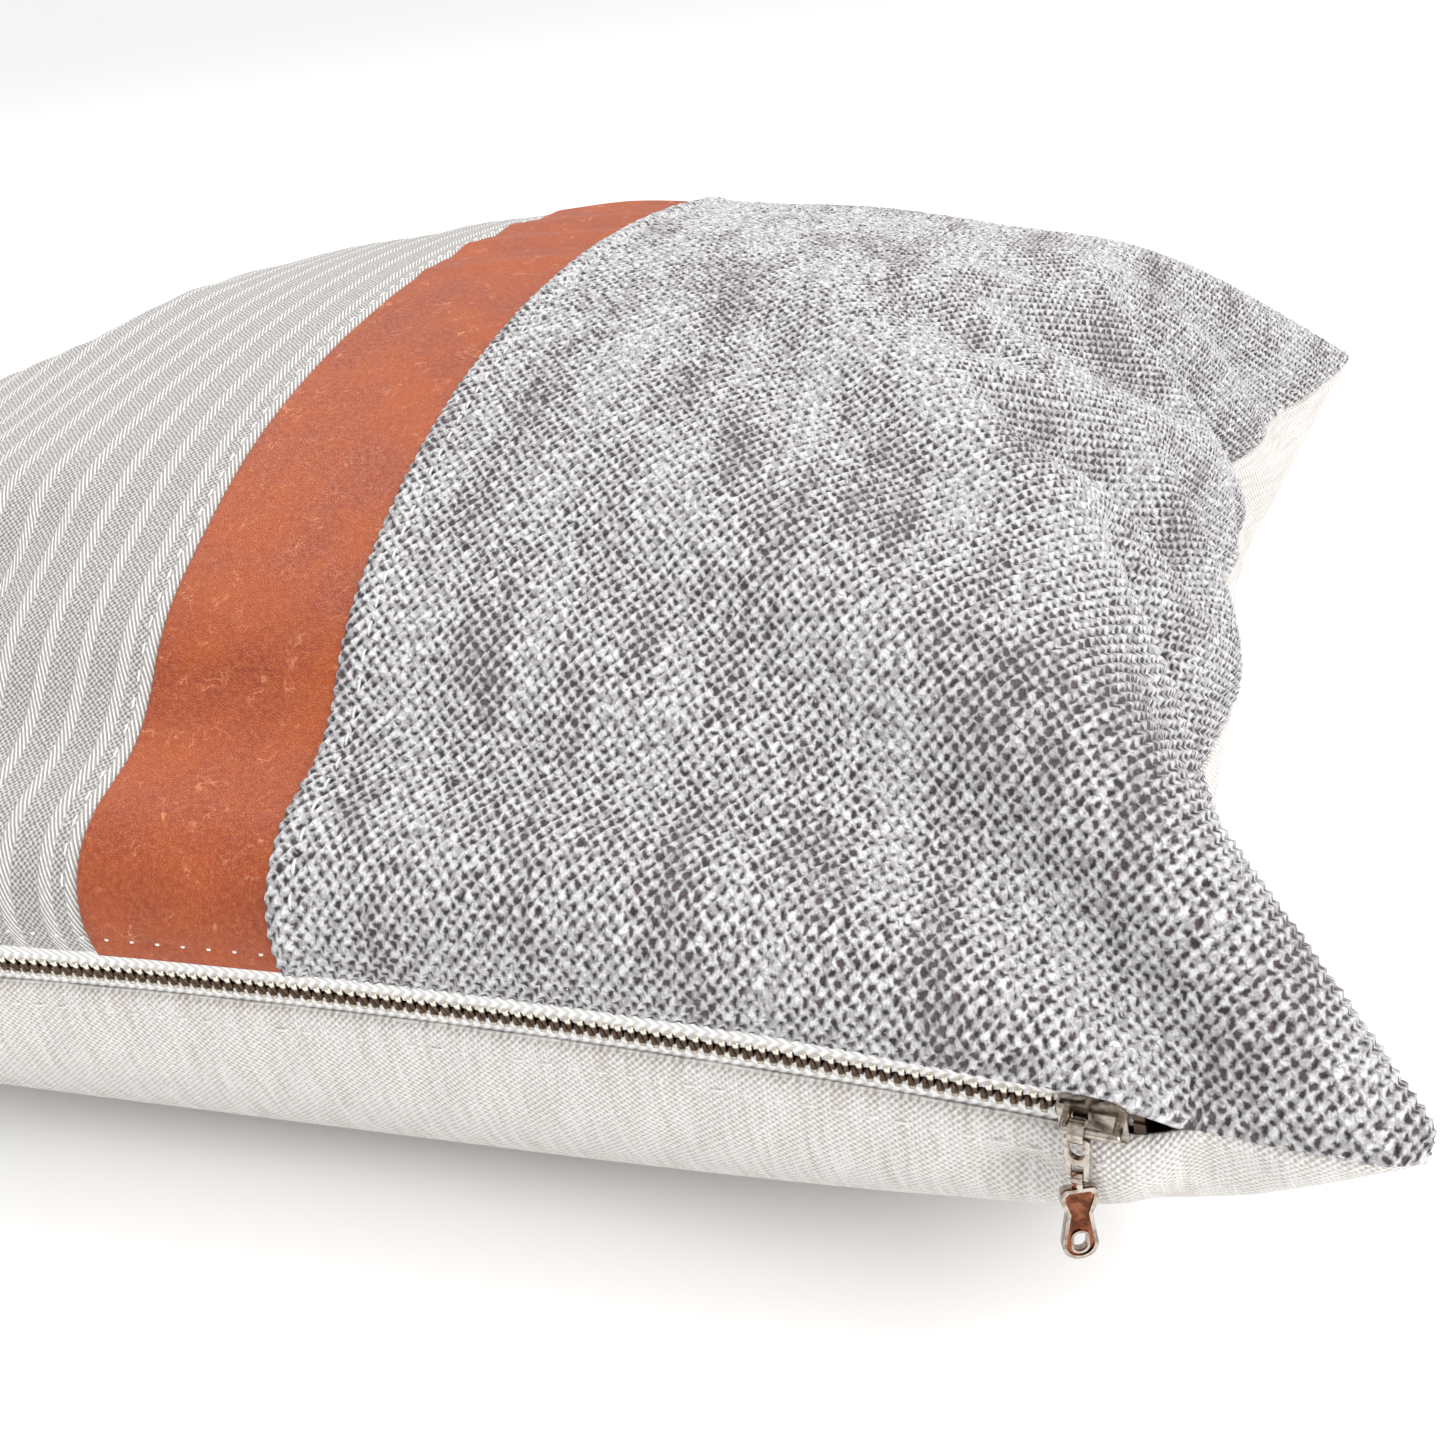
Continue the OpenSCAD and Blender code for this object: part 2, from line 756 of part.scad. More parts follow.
module pull_tab() {
  color("#cfcbc5")
    at_pull()
      translate([0, 0, -link_reach]) {
        difference() {
          union() {
            translate([-tab_eye_w / 2, 0, 0])
              rotate([0, 90, 0]) cylinder(h = tab_eye_w, r = tab_eye_out, $fn = 40);
            translate([-tab_eye_w / 2, -tab_t / 2, neck_z - neck_lap])
              cube([tab_eye_w, tab_t, -neck_z - tab_eye_out + 2 * neck_lap]);
          }
          translate([-tab_eye_w, 0, 0])
            rotate([0, 90, 0]) cylinder(h = 2 * tab_eye_w, r = tab_eye_r, $fn = 40);
        }
        rotate([0, 0, tab_twist])
          difference() {
            translate([0, tab_t / 2, 0])
              rotate([90, 0, 0])
                linear_extrude(tab_t)
                  difference() {
                    tab_outline(0);
                    tab_hole(0);
                  }
            for (face = [-1, 1])
              translate([0, face * tab_t / 2 + recess, 0])
                rotate([90, 0, 0])
                  linear_extrude(2 * recess)
                    difference() {
                      tab_outline(rim_w);
                      tab_hole(hole_rim);
                    }
          }
      }
}

striped_panel();
leather_band();
grey_panel();
back_panel();
striped_seam_stitching();
grey_topstitching();
zip_upper_stitching();
zip_lower_stitching();
seam_allowance_left();
seam_allowance_right();
seam_allowance_back();
zip_tape_upper();
zip_tape_lower();
zip_teeth_upper();
zip_teeth_lower();
zip_top_stops();
zip_bottom_stop();
slider_body();
slider_crown();
pull_link();
pull_tab();
insert_front_cover();
insert_back_cover();
insert_fill();
insert_closing_seam();
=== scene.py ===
"""Square patchwork throw pillow. A cloth simulation fills the sewn cover. The panels, seams and
stitches are built on the simulated cloth, and the zip on the arc that its slider follows."""

import json
import math

import bmesh
import bpy
import numpy as np
from mathutils import Matrix, Vector


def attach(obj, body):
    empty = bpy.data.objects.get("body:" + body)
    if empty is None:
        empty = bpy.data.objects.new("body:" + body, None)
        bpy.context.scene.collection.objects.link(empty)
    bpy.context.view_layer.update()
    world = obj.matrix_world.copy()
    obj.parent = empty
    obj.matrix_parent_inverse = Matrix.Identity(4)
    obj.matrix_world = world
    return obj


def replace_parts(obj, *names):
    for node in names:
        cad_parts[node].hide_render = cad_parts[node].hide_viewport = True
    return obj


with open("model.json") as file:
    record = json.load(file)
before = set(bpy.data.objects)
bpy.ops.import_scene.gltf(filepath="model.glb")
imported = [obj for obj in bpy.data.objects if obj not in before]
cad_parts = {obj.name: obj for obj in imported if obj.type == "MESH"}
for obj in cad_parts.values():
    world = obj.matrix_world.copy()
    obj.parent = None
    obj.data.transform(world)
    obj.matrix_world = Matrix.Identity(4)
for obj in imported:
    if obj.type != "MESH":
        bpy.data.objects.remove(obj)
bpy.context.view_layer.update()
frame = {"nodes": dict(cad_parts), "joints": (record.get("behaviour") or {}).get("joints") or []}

MM = 0.001

# ---- sizes, as in the part unless a comment says otherwise -------------------------------
COVER = 457 * MM
HALF = COVER / 2
CLOTH = 0.9 * MM
BAND_HALF = 22 * MM
ZIP_TILT = math.radians(20)
ZIP_MID_Y = -187 * MM
UPPER_SHOW = 9.3 * MM  # of the tape over the chain by the middle, more than in the part
SHOW_DROP = 2.6 * MM  # the upper tape shows this much less by the slider
DROP_FROM, DROP_RUN = 110 * MM, 55 * MM  # where along the chain that starts, and how far it takes
LOWER_SHOW = 6.8 * MM
LIP_LIFT = 1.9 * MM
TAPE_W = 14 * MM
TAPE_T = 0.6 * MM
TOOTH_PITCH = 2.54 * MM
CHAIN_HALF = 178 * MM
TAPE_HALF = 181 * MM  # shorter than in the part, so that its ends stay under the cloth
STITCH_PITCH = 5.8 * MM
ZIP_STITCH_IN = 5.3 * MM  # from the front seam line to the stitches beside the zip
GREY_STITCH_IN = 4.3 * MM  # from the leather's edge to the grey topstitches, 5.3 in the part
STRIPED_STITCH_IN = 3.4 * MM  # from the leather's edge to the striped stitches, 2.65 in the part
SLIDER_LENGTH, SLIDER_PAST = 11.5, 0.5  # its length and how far it ends past the chain, in mm
SLIDER_X = CHAIN_HALF + (SLIDER_PAST - SLIDER_LENGTH / 2) * MM
TOOTH_SPREAD = 1.8 * MM

zip_joint = next(j for j in frame["joints"] if j["name"] == "zip_travel")
ZIP_AXIS = Vector(zip_joint["pos_m"])
ZIP_R = ZIP_MID_Y - ZIP_AXIS.y
CHAIN_Z = ZIP_AXIS.z


def zip_point(along, inward, up):
    """Points by the zip: along the chain, inward through the tape, and up the tape."""
    angle = np.asarray(along) / ZIP_R
    radius = ZIP_R + inward * math.cos(ZIP_TILT) - up * math.sin(ZIP_TILT)
    z = CHAIN_Z + inward * math.sin(ZIP_TILT) + up * math.cos(ZIP_TILT)
    return np.stack(
        np.broadcast_arrays(
            ZIP_AXIS.x + radius * np.sin(angle), ZIP_AXIS.y + radius * np.cos(angle), z
        ),
        -1,
    )


def upper_show(along):
    """How much of the upper tape shows: less by the slider."""
    t = np.clip((np.asarray(along) - DROP_FROM) / DROP_RUN, 0, 1)
    return UPPER_SHOW - SHOW_DROP * t * t * (3 - 2 * t)


# ---- cloth simulation --------------------------------------------------------------------
CELLS = 60
STEP = COVER / CELLS
STEPS = 1150
FILL_VOLUME = 0.0165  # cubic metres held by the filling
WEIGHT = 0.5e-6  # drop per step
REST_Z = 1.1 * MM  # the cloth's middle rests this high on the floor
PINNED = 184 * MM  # the zip holds the cloth this far each way
OPEN = 178 * MM  # up to here the two fabrics are as far apart as the zip is wide
CLOSED = 190 * MM  # from here on they are sewn together
LIP_BELOW = 5.2 * MM  # the canvas edge lies this far under the chain
LIP_BELOW_LIFT = 1.35 * MM
SNUG = 0.965  # the canvas is cut this much tighter than the front, from zip to back
BLUNT = 0.3  # how far a turned corner draws back to the next crossing
START_THICK = 150 * MM
KEEP_SPEED = 0.95
FLOOR_GRIP = 0.3
PRESSED, SHEARED, BENT = 0.4, 0.12, 0.12  # how hard the cloth resists each, against stretch 1


def cover_grid():
    """Point numbers of the two faces. They share their side and back seams, not the front."""
    size = CELLS + 1
    top = np.arange(size * size).reshape(size, size)
    bottom = top.copy()
    inner = bottom[1:-1, :-1]
    bottom[1:-1, :-1] = size * size + np.arange(inner.size).reshape(inner.shape)
    return top, bottom


def flat_start(top, bottom):
    """Places of the points on a rough pillow, before it is filled."""
    t = np.linspace(-1, 1, CELLS + 1)
    u, v = np.meshgrid(t, t, indexing="ij")
    swell = np.clip((1 - u**2) * (1 - v**2), 0, None) ** 0.42
    place = np.zeros((max(top.max(), bottom.max()) + 1, 3))
    for ids, side in ((bottom, -1), (top, 1)):
        x = u * HALF * (0.95 - 0.06 * (1 - v**2))
        y = v * HALF * (0.95 - 0.06 * (1 - u**2))
        z = CHAIN_Z + side * swell * START_THICK / 2
        place[ids.ravel()] = np.stack([x, y, z], -1).reshape(-1, 3)
    return place


def quads(ids):
    """Four point numbers for each cell of a grid."""
    return np.stack([ids[:-1, :-1], ids[1:, :-1], ids[1:, 1:], ids[:-1, 1:]], -1).reshape(-1, 4)


def constraint_sets(top, bottom):
    """Lengths to keep, in sets that share no point: (first points, second points, length, kind)."""
    sets = []

    def add(a, b, rest, kind):
        sets.append((a.ravel(), b.ravel(), rest, kind))

    for ids, rows, columns, snug in (
        (top, slice(None), slice(None), 1.0),
        (bottom, slice(0, -1), slice(1, -1), SNUG),
    ):
        across, along = ids[:, rows], ids[columns, :]
        for p in (0, 1):
            a, b = across[p:-1:2], across[p + 1 :: 2]
            add(a[: len(b)], b[: len(a)], STEP, "stretch")
            a, b = along[:, p:-1:2], along[:, p + 1 :: 2]
            n = min(a.shape[1], b.shape[1])
            add(a[:, :n], b[:, :n], STEP * snug, "stretch")
            add(ids[:-1, :-1][p::2], ids[1:, 1:][p::2], STEP * 2**0.5, "shear")
            add(ids[1:, :-1][p::2], ids[:-1, 1:][p::2], STEP * 2**0.5, "shear")
        for p in range(4):
            a, b = ids[p:-2:4, 1:-1], ids[p + 2 :: 4, 1:-1]
            n = min(len(a), len(b))
            add(a[:n], b[:n], 2 * STEP, "bend")
            a, b = ids[1:-1, p:-2:4], ids[1:-1, p + 2 :: 4]
            n = min(a.shape[1], b.shape[1])
            add(a[:, :n], b[:, :n], 2 * STEP, "bend")
    return sets


def volume_slope(place, triangles):
    """Volume inside the cover, and how it grows with each point."""
    a, b, c = (place[triangles[:, k]] for k in range(3))
    push = np.cross(b - a, c - a) / 6
    slope = np.zeros_like(place)
    for k in range(3):
        for axis in range(3):
            slope[:, axis] += np.bincount(triangles[:, k], push[:, axis], len(place))
    return np.einsum("ij,ij->", a, np.cross(b, c)) / 6, slope


def strength(kind, excess):
    """How much of each length's error is taken out in one step."""
    if kind == "stretch":
        return np.where(excess > 0, 1.0, PRESSED)
    return SHEARED if kind == "shear" else np.where(excess < 0, BENT, 0.0)


def fill_cover():
    """Fills the sewn cover on the floor. Returns the two faces as grids of points."""
    top, bottom = cover_grid()
    place = flat_start(top, bottom)
    lips = np.stack([top[:, 0][::-1], bottom[:, 0][::-1]])
    strip = np.stack([lips[0, :-1], lips[0, 1:], lips[1, 1:], lips[1, :-1]], -1)
    faces = np.concatenate([quads(top), quads(bottom)[:, ::-1], strip])
    triangles = np.concatenate([faces[:, [0, 1, 2]], faces[:, [0, 2, 3]]])
    sets = constraint_sets(top, bottom)
    along = np.linspace(-HALF, HALF, CELLS + 1)
    held = np.abs(along) <= PINNED
    sewn = (np.abs(along) >= CLOSED) & (np.abs(along) < HALF - STEP / 2)
    pins = np.concatenate([top[held, 0], bottom[held, 0]])
    apart = np.clip((CLOSED - np.abs(along[held])) / (CLOSED - OPEN), 0, 1)
    pinned = np.concatenate(
        [
            zip_point(along[held], -LIP_LIFT, upper_show(along[held]) * apart),
            zip_point(along[held], -LIP_BELOW_LIFT, -LIP_BELOW * apart),
        ]
    )
    before = place.copy()
    for _ in range(STEPS):
        moved = (place - before) * KEEP_SPEED
        before = place.copy()
        place = place + moved
        place[:, 2] -= WEIGHT
        for a, b, rest, kind in sets:
            gap = place[b] - place[a]
            length = np.sqrt((gap * gap).sum(1)) + 1e-12
            excess = length - rest
            fix = (0.5 * strength(kind, excess) * excess / length)[:, None] * gap
            place[a] += fix
            place[b] -= fix
        volume, slope = volume_slope(place, triangles)
        place += slope * ((FILL_VOLUME - volume) / (slope * slope).sum())
        place[pins] = pinned
        middle = (place[top[sewn, 0]] + place[bottom[sewn, 0]]) / 2
        place[top[sewn, 0]] = middle
        place[bottom[sewn, 0]] = middle
        low = place[:, 2] < REST_Z
        place[low, 2] = REST_Z
        place[low, :2] = before[low, :2] + (place[low, :2] - before[low, :2]) * FLOOR_GRIP
    for i, j in ((0, 0), (0, -1), (-1, 0), (-1, -1)):
        inner = (1 if i == 0 else -2, 1 if j == 0 else -2)
        drawn = (place[top[inner]] + place[bottom[inner]]) / 2
        place[top[i, j]] += (drawn - place[top[i, j]]) * BLUNT
    return place[top], place[bottom]


# ---- smooth faces ------------------------------------------------------------------------
def spline_weights(t, count):
    """Smooth-curve weights of places t, in cells, on count points in a row."""
    cell = np.clip(np.floor(t).astype(int), 0, count - 2)
    f = t - cell
    weights = np.zeros((len(t), count))
    rows = np.arange(len(t))
    parts = (
        (-1, -0.5 * f + f**2 - 0.5 * f**3),
        (0, 1 - 2.5 * f**2 + 1.5 * f**3),
        (1, 0.5 * f + 2 * f**2 - 1.5 * f**3),
        (2, -0.5 * f**2 + 0.5 * f**3),
    )
    for shift, part in parts:
        j = cell + shift
        low, high = j < 0, j > count - 1
        inside = ~(low | high)
        weights[rows[inside], j[inside]] += part[inside]
        for out, end, next_in in ((low, 0, 1), (high, count - 1, count - 2)):
            weights[rows[out], end] += 2 * part[out]
            weights[rows[out], next_in] -= part[out]
    return weights


class Face:
    """One face of the filled cover, found by flat cloth coordinates u and v. Side is 1 for the top."""

    def __init__(self, grid, side):
        self.grid, self.side = grid, side

    def points(self, u, v):
        wu = spline_weights((u + HALF) / STEP, CELLS + 1)
        wv = spline_weights((v + HALF) / STEP, CELLS + 1)
        return np.einsum("ai,ijk,bj->abk", wu, self.grid, wv, optimize=True)

    def normals(self, u, v):
        h = 1.5 * MM
        u, v = np.clip(u, -HALF + h, HALF - h), np.clip(v, -HALF + h, HALF - h)
        du = self.points(u + h, v) - self.points(u - h, v)
        dv = self.points(u, v + h) - self.points(u, v - h)
        n = np.cross(du, dv) * self.side
        return n / (np.linalg.norm(n, axis=-1, keepdims=True) + 1e-12)

    def lifted(self, u, v, lift):
        return self.points(u, v) + self.normals(u, v) * np.broadcast_to(lift, (len(u), len(v)))[..., None]

    def at(self, pairs, lift):
        """Places over scattered cloth coordinates, with their normals."""
        points, normals = [], []
        for u, v in pairs:
            uu, vv = np.array([u]), np.array([v])
            points.append(self.points(uu, vv)[0, 0])
            normals.append(self.normals(uu, vv)[0, 0])
        points, normals = np.array(points), np.array(normals)
        return points + normals * lift, normals


# ---- mesh helpers ------------------------------------------------------------------------
def new_piece(name, verts, faces, material, body, smooth=True):
    """A piece that rides on a body, with the material given."""
    mesh = bpy.data.meshes.new(name)
    mesh.from_pydata([tuple(p) for p in np.asarray(verts, float)], [], [tuple(f) for f in faces])
    mesh.validate()
    shell = bmesh.new()
    shell.from_mesh(mesh)
    bmesh.ops.recalc_face_normals(shell, faces=shell.faces)
    shell.to_mesh(mesh)
    shell.free()
    mesh.polygons.foreach_set("use_smooth", [smooth] * len(mesh.polygons))
    mesh.materials.append(material)
    piece = bpy.data.objects.new(name, mesh)
    bpy.context.scene.collection.objects.link(piece)
    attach(piece, body)
    return piece


def set_uv(piece, coordinates):
    """Cloth coordinates as a named UV layer, one pair for each vertex."""
    mesh = piece.data
    layer = mesh.uv_layers.new(name="Cloth")
    loops = np.zeros(len(mesh.loops), int)
    mesh.loops.foreach_get("vertex_index", loops)
    layer.data.foreach_set("uv", np.asarray(coordinates, np.float32)[loops].ravel())


def ring(n, m):
    """Numbers of a grid's outline, in order round it."""
    grid = np.arange(n * m).reshape(n, m)
    return np.concatenate([grid[:-1, 0], grid[-1, :-1], grid[:0:-1, -1], grid[0, :0:-1]])


def cloth_piece(name, face, u, v, lift, back, coarse, material, weave=None):
    """A closed piece of cloth over the grid u, v of a face. Its outer surface is lift over the
    simulated cloth; its inner one lies back under the outer one, with every coarse-th point."""
    n, m = len(u), len(v)
    outer = face.lifted(u, v, lift)
    inner_lift = np.broadcast_to(lift, (n, m)) - back
    normals = face.normals(u, v)
    inner = (face.points(u, v) + normals * inner_lift[..., None])[::coarse, ::coarse]
    a, b = inner.shape[:2]
    outer_ids = np.arange(n * m).reshape(n, m)
    inner_ids = n * m + np.arange(a * b).reshape(a, b)
    faces = [list(q) for q in quads(outer_ids)] + [list(q[::-1]) for q in quads(inner_ids)]
    fine, rough = ring(n, m), n * m + ring(a, b)
    fine, rough = np.append(fine, fine[0]), np.append(rough, rough[0])
    for k in range(len(rough) - 1):
        edge = fine[k * coarse : (k + 1) * coarse + 1]
        faces.append([*edge[::-1], rough[k], rough[k + 1]])
    if face.side < 0:
        faces = [f[::-1] for f in faces]
    verts = np.concatenate([outer.reshape(-1, 3), inner.reshape(-1, 3)])
    piece = new_piece(name, verts, faces, material, "pillow")
    uu, vv = np.meshgrid(u, v, indexing="ij") if weave is None else weave
    flat = np.stack([uu, vv], -1)
    set_uv(piece, np.concatenate([flat.reshape(-1, 2), flat[::coarse, ::coarse].reshape(-1, 2)]))
    return piece


def even(lo, hi, pitch, coarse):
    """Even places from lo to hi, about pitch apart, in a whole number of coarse cells."""
    cells = coarse * max(1, round((hi - lo) / pitch / coarse))
    return np.linspace(lo, hi, cells + 1)


def rolled(distance, radius):
    """0 at an edge and 1 from radius on, round like a folded edge."""
    return np.sqrt(1 - (1 - np.clip(distance / radius, 0, 1)) ** 2)


def edge_distances(u, v, u_edges):
    """Distance of each point from the nearest of the side edges given, the front and the back."""
    du = np.min([np.abs(u - e) for e in u_edges], axis=0) if u_edges else np.full(len(u), 1.0)
    dv = np.min([np.abs(v - e) for e in (-HALF, HALF)], axis=0)
    return np.minimum(du[:, None], dv[None, :])


def groove(distance, width):
    """1 on a line, fading to 0 on both sides of it."""
    return np.exp(-((distance / width) ** 2))


# ---- materials ---------------------------------------------------------------------------
class Shader:
    """Builds one node material. Inputs are numbers, colours, or the outputs of other nodes."""

    def __init__(self, name):
        self.material = bpy.data.materials.new(name)
        self.material.use_nodes = True
        self.tree = self.material.node_tree
        self.bsdf = next(n for n in self.tree.nodes if n.type == "BSDF_PRINCIPLED")

    def add(self, kind, inputs=None, **settings):
        node = self.tree.nodes.new("ShaderNode" + kind)
        for key, value in settings.items():
            setattr(node, key, value)
        for key, value in (inputs or {}).items():
            self.put(node.inputs[key], value)
        return node

    def put(self, socket, value):
        if isinstance(value, bpy.types.NodeSocket):
            self.tree.links.new(value, socket)
        else:
            socket.default_value = value

    def math(self, operation, a, b=0.0, c=0.0):
        return self.add("Math", {0: a, 1: b, 2: c}, operation=operation).outputs[0]

    def centred(self, value, width):
        """A value from 0 to 1 spread over width, with its middle at 0."""
        return self.math("MULTIPLY", self.math("SUBTRACT", value, 0.5), width)

    def scaled(self, vector, factors):
        return self.add("VectorMath", {0: vector, 1: factors}, operation="MULTIPLY").outputs[0]

    def smooth(self, value, lo, hi, to_lo=0.0, to_hi=1.0):
        return self.add(
            "MapRange",
            {"Value": value, "From Min": lo, "From Max": hi, "To Min": to_lo, "To Max": to_hi},
            interpolation_type="SMOOTHSTEP",
        ).outputs[0]

    def mix(self, share, a, b):
        node = self.add("Mix", data_type="RGBA")
        self.put(node.inputs[0], share)
        self.put(node.inputs[6], a)
        self.put(node.inputs[7], b)
        return node.outputs[2]

    def cloth_uv(self):
        """Cloth coordinates u and v in millimetres, and both as one vector."""
        uv = self.add("UVMap", uv_map="Cloth").outputs[0]
        mm = self.scaled(uv, (1000, 1000, 1000))
        split = self.add("SeparateXYZ", {0: mm})
        return split.outputs[0], split.outputs[1], mm

    def noise(self, vector, scale, detail=3.0, rough=0.55, distortion=0.0):
        return self.add(
            "TexNoise",
            {
                "Vector": vector,
                "Scale": scale,
                "Detail": detail,
                "Roughness": rough,
                "Distortion": distortion,
            },
        ).outputs[0]

    def place(self):
        """Place on the object, in millimetres."""
        here = self.add("TexCoord").outputs["Object"]
        return self.scaled(here, (1000, 1000, 1000))

    def bump(self, height, distance, strength):
        inputs = {"Height": height, "Distance": distance, "Strength": strength}
        return self.add("Bump", inputs).outputs[0]

    def finish(self, **inputs):
        for key, value in inputs.items():
            self.put(self.bsdf.inputs[key.replace("_", " ")], value)
        return self.material


def linear(r, g, b):
    """A screen colour, 0 to 255, as a scene colour."""
    parts = [c / 255 for c in (r, g, b)]
    return (*[p / 12.92 if p <= 0.04045 else ((p + 0.055) / 1.055) ** 2.4 for p in parts], 1.0)


def crossings(s, u, v, along, wobble, scale):
    """Plain weave with crossings one unit apart: 1 on the yarns on top, -1 in the pits between."""
    shift = s.add("TexNoise", {"Vector": along, "Scale": scale, "Detail": 2.0}).outputs[1]
    parts = s.add("SeparateXYZ", {0: shift})
    u = s.math("ADD", u, s.centred(parts.outputs[0], wobble))
    v = s.math("ADD", v, s.centred(parts.outputs[1], wobble))
    across = s.math("COSINE", s.math("MULTIPLY", u, math.pi))
    down = s.math("COSINE", s.math("MULTIPLY", v, math.pi))
    return s.math("MULTIPLY", across, down)


def grey_weave():
    """Thick light yarns over dark ones, with painted shade in the pits between them. Its cloth coordinates
    count crossings.
    """
    s = Shader("grey_weave")
    u, v, cells = s.cloth_uv()
    lumps = crossings(s, u, v, cells, 1.7, 0.8)
    fibre = s.noise(cells, 2.2, 4.0, 0.7)
    tone = s.noise(cells, 0.75, 2.0, 0.6)
    streak = s.noise(s.scaled(cells, (0.09, 0.035, 1)), 1.0, 3.0)
    rough = s.centred(fibre, 1.5)
    depth = s.math("ADD", s.math("ADD", lumps, rough), s.centred(streak, -1.8))
    light = s.mix(s.smooth(tone, 0.34, 0.62), linear(186, 182, 185), linear(246, 245, 245))
    # painted shade: where the weave is low, between the lumps, the colour goes dark as if in shadow
    pit_shade = s.mix(s.smooth(tone, 0.4, 0.6), linear(46, 38, 42), linear(88, 74, 80))
    colour = s.mix(s.smooth(depth, -0.8, 0.12), pit_shade, light)
    colour = s.mix(s.smooth(streak, 0.5, 0.66, 0.0, 0.28), colour, linear(134, 122, 129))
    raised = s.math("ADD", s.smooth(lumps, -0.9, 0.9), s.math("MULTIPLY", fibre, 0.6))
    return s.finish(Base_Color=colour, Roughness=0.85, Normal=s.bump(raised, 0.0015, 1.0), Sheen_Weight=0.1)


# the striped cloth, in millimetres
STRIPE_PITCH = 9.6
STRIPE_WIDTH = 3.1
STRIPE_FIRST = -29.4  # middle of the first whole stripe from the leather
EDGE_STRIPE = -24.9  # from here to the leather the cloth is all white
DASH = 1.95  # from one slanted float to the next


def striped_ticking():
    """Fine warm grey weave with raised white stripes of slanted floats."""
    s = Shader("striped_ticking")
    u, v, mm = s.cloth_uv()
    shifted = s.math("DIVIDE", s.math("SUBTRACT", u, STRIPE_FIRST), STRIPE_PITCH)
    off = s.math("MULTIPLY", s.math("SUBTRACT", shifted, s.math("ROUND", shifted)), STRIPE_PITCH)
    beside = s.math("ABSOLUTE", off)
    stripe = s.smooth(beside, STRIPE_WIDTH / 2 + 0.3, STRIPE_WIDTH / 2 - 0.3)
    stripe = s.math("MAXIMUM", stripe, s.smooth(u, EDGE_STRIPE - 0.3, EDGE_STRIPE + 0.3))
    fine = s.noise(mm, 1.1, 3.0, 0.6)
    cells = s.math("DIVIDE", u, 0.66), s.math("DIVIDE", v, 0.66)
    dots = crossings(s, cells[0], cells[1], mm, 1.5, 0.7)
    slant = s.math("ADD", s.math("DIVIDE", v, DASH), s.math("DIVIDE", u, 0.95))
    dash = s.math("SINE", s.math("MULTIPLY", slant, 2 * math.pi))
    dash = s.smooth(s.math("ADD", dash, s.centred(fine, 1.2)), -0.7, 0.3)
    speck = s.math("ADD", dots, s.centred(fine, 1.6))
    ground = s.mix(s.smooth(speck, -0.6, 0.5), linear(118, 114, 111), linear(192, 190, 187))
    white = s.mix(dash, linear(158, 154, 150), linear(228, 226, 223))
    colour = s.mix(stripe, ground, white)
    floats = s.math("MULTIPLY", s.math("MULTIPLY", dash, stripe), 1.3)
    raised = s.math("ADD", floats, s.math("MULTIPLY", dots, 0.4))
    return s.finish(Base_Color=colour, Roughness=0.8, Normal=s.bump(raised, 0.0004, 0.9), Sheen_Weight=0.1)


def canvas():
    """Natural cotton canvas with thick and thin places in its yarns."""
    s = Shader("canvas")
    u, v, mm = s.cloth_uv()
    slub = s.noise(s.scaled(mm, (0.7, 0.06, 1)), 1.0, 3.0, 0.6)
    cells = s.math("DIVIDE", u, 0.8), s.math("DIVIDE", v, 0.72)
    yarns = crossings(s, cells[0], cells[1], mm, 0.9, 0.5)
    fibre = s.noise(mm, 2.5, 3.0, 0.7)
    open_weave = s.math("ADD", yarns, s.centred(slub, 2.6))
    open_weave = s.math("ADD", open_weave, s.centred(fibre, 0.8))
    colour = s.mix(s.smooth(open_weave, -0.9, 0.3), linear(190, 181, 174), linear(232, 229, 226))
    uneven = s.math("ADD", s.math("MULTIPLY", slub, 1.2), s.math("MULTIPLY", fibre, 0.3))
    raised = s.math("ADD", yarns, uneven)
    return s.finish(Base_Color=colour, Roughness=0.9, Normal=s.bump(raised, 0.0004, 0.8), Sheen_Weight=0.1)


def leather():
    """Cognac leather: clouded colour, fine pores and faint pale scuffs."""
    s = Shader("cognac_leather")
    mm = s.cloth_uv()[2]
    cloud = s.noise(mm, 0.045, 3.0, 0.6)
    mottled = s.noise(mm, 0.8, 5.0, 0.75)
    pebbles = {"Vector": mm, "Scale": 1.6, "Randomness": 1.0}
    pores = s.add("TexVoronoi", pebbles, feature="DISTANCE_TO_EDGE").outputs[0]
    scuff = s.math("ABSOLUTE", s.math("SUBTRACT", s.noise(mm, 0.22, 3.0, 0.55, 0.6), 0.5))
    where = s.smooth(s.noise(mm, 0.16, 3.0, 0.6), 0.5, 0.68)
    scuff = s.math("MULTIPLY", s.smooth(scuff, 0.034, 0.0), where)
    colour = s.mix(s.smooth(cloud, 0.3, 0.7), linear(140, 52, 14), linear(168, 76, 26))
    colour = s.mix(s.smooth(mottled, 0.4, 0.62, 0.0, 0.6), colour, linear(184, 98, 50))
    colour = s.mix(s.smooth(pores, 0.12, 0.0, 0.0, 0.55), colour, linear(128, 50, 22))
    colour = s.mix(s.math("MULTIPLY", scuff, 0.7), colour, linear(212, 140, 100))
    grain = s.math("ADD", s.smooth(pores, 0.0, 0.25), s.math("MULTIPLY", mottled, 0.8))
    normal = s.bump(s.math("SUBTRACT", grain, s.math("MULTIPLY", scuff, 0.6)), 0.00014, 0.8)
    rough = s.smooth(cloud, 0.3, 0.7, 0.46, 0.58)
    return s.finish(Base_Color=colour, Roughness=rough, Normal=normal, Specular_IOR_Level=0.38)


# the tape's herringbone, in millimetres
RIB_TURN = 4.4  # the ribs turn back this far over the chain's middle
RIB_PITCH, RIB_SLANT = 2.3, 0.8


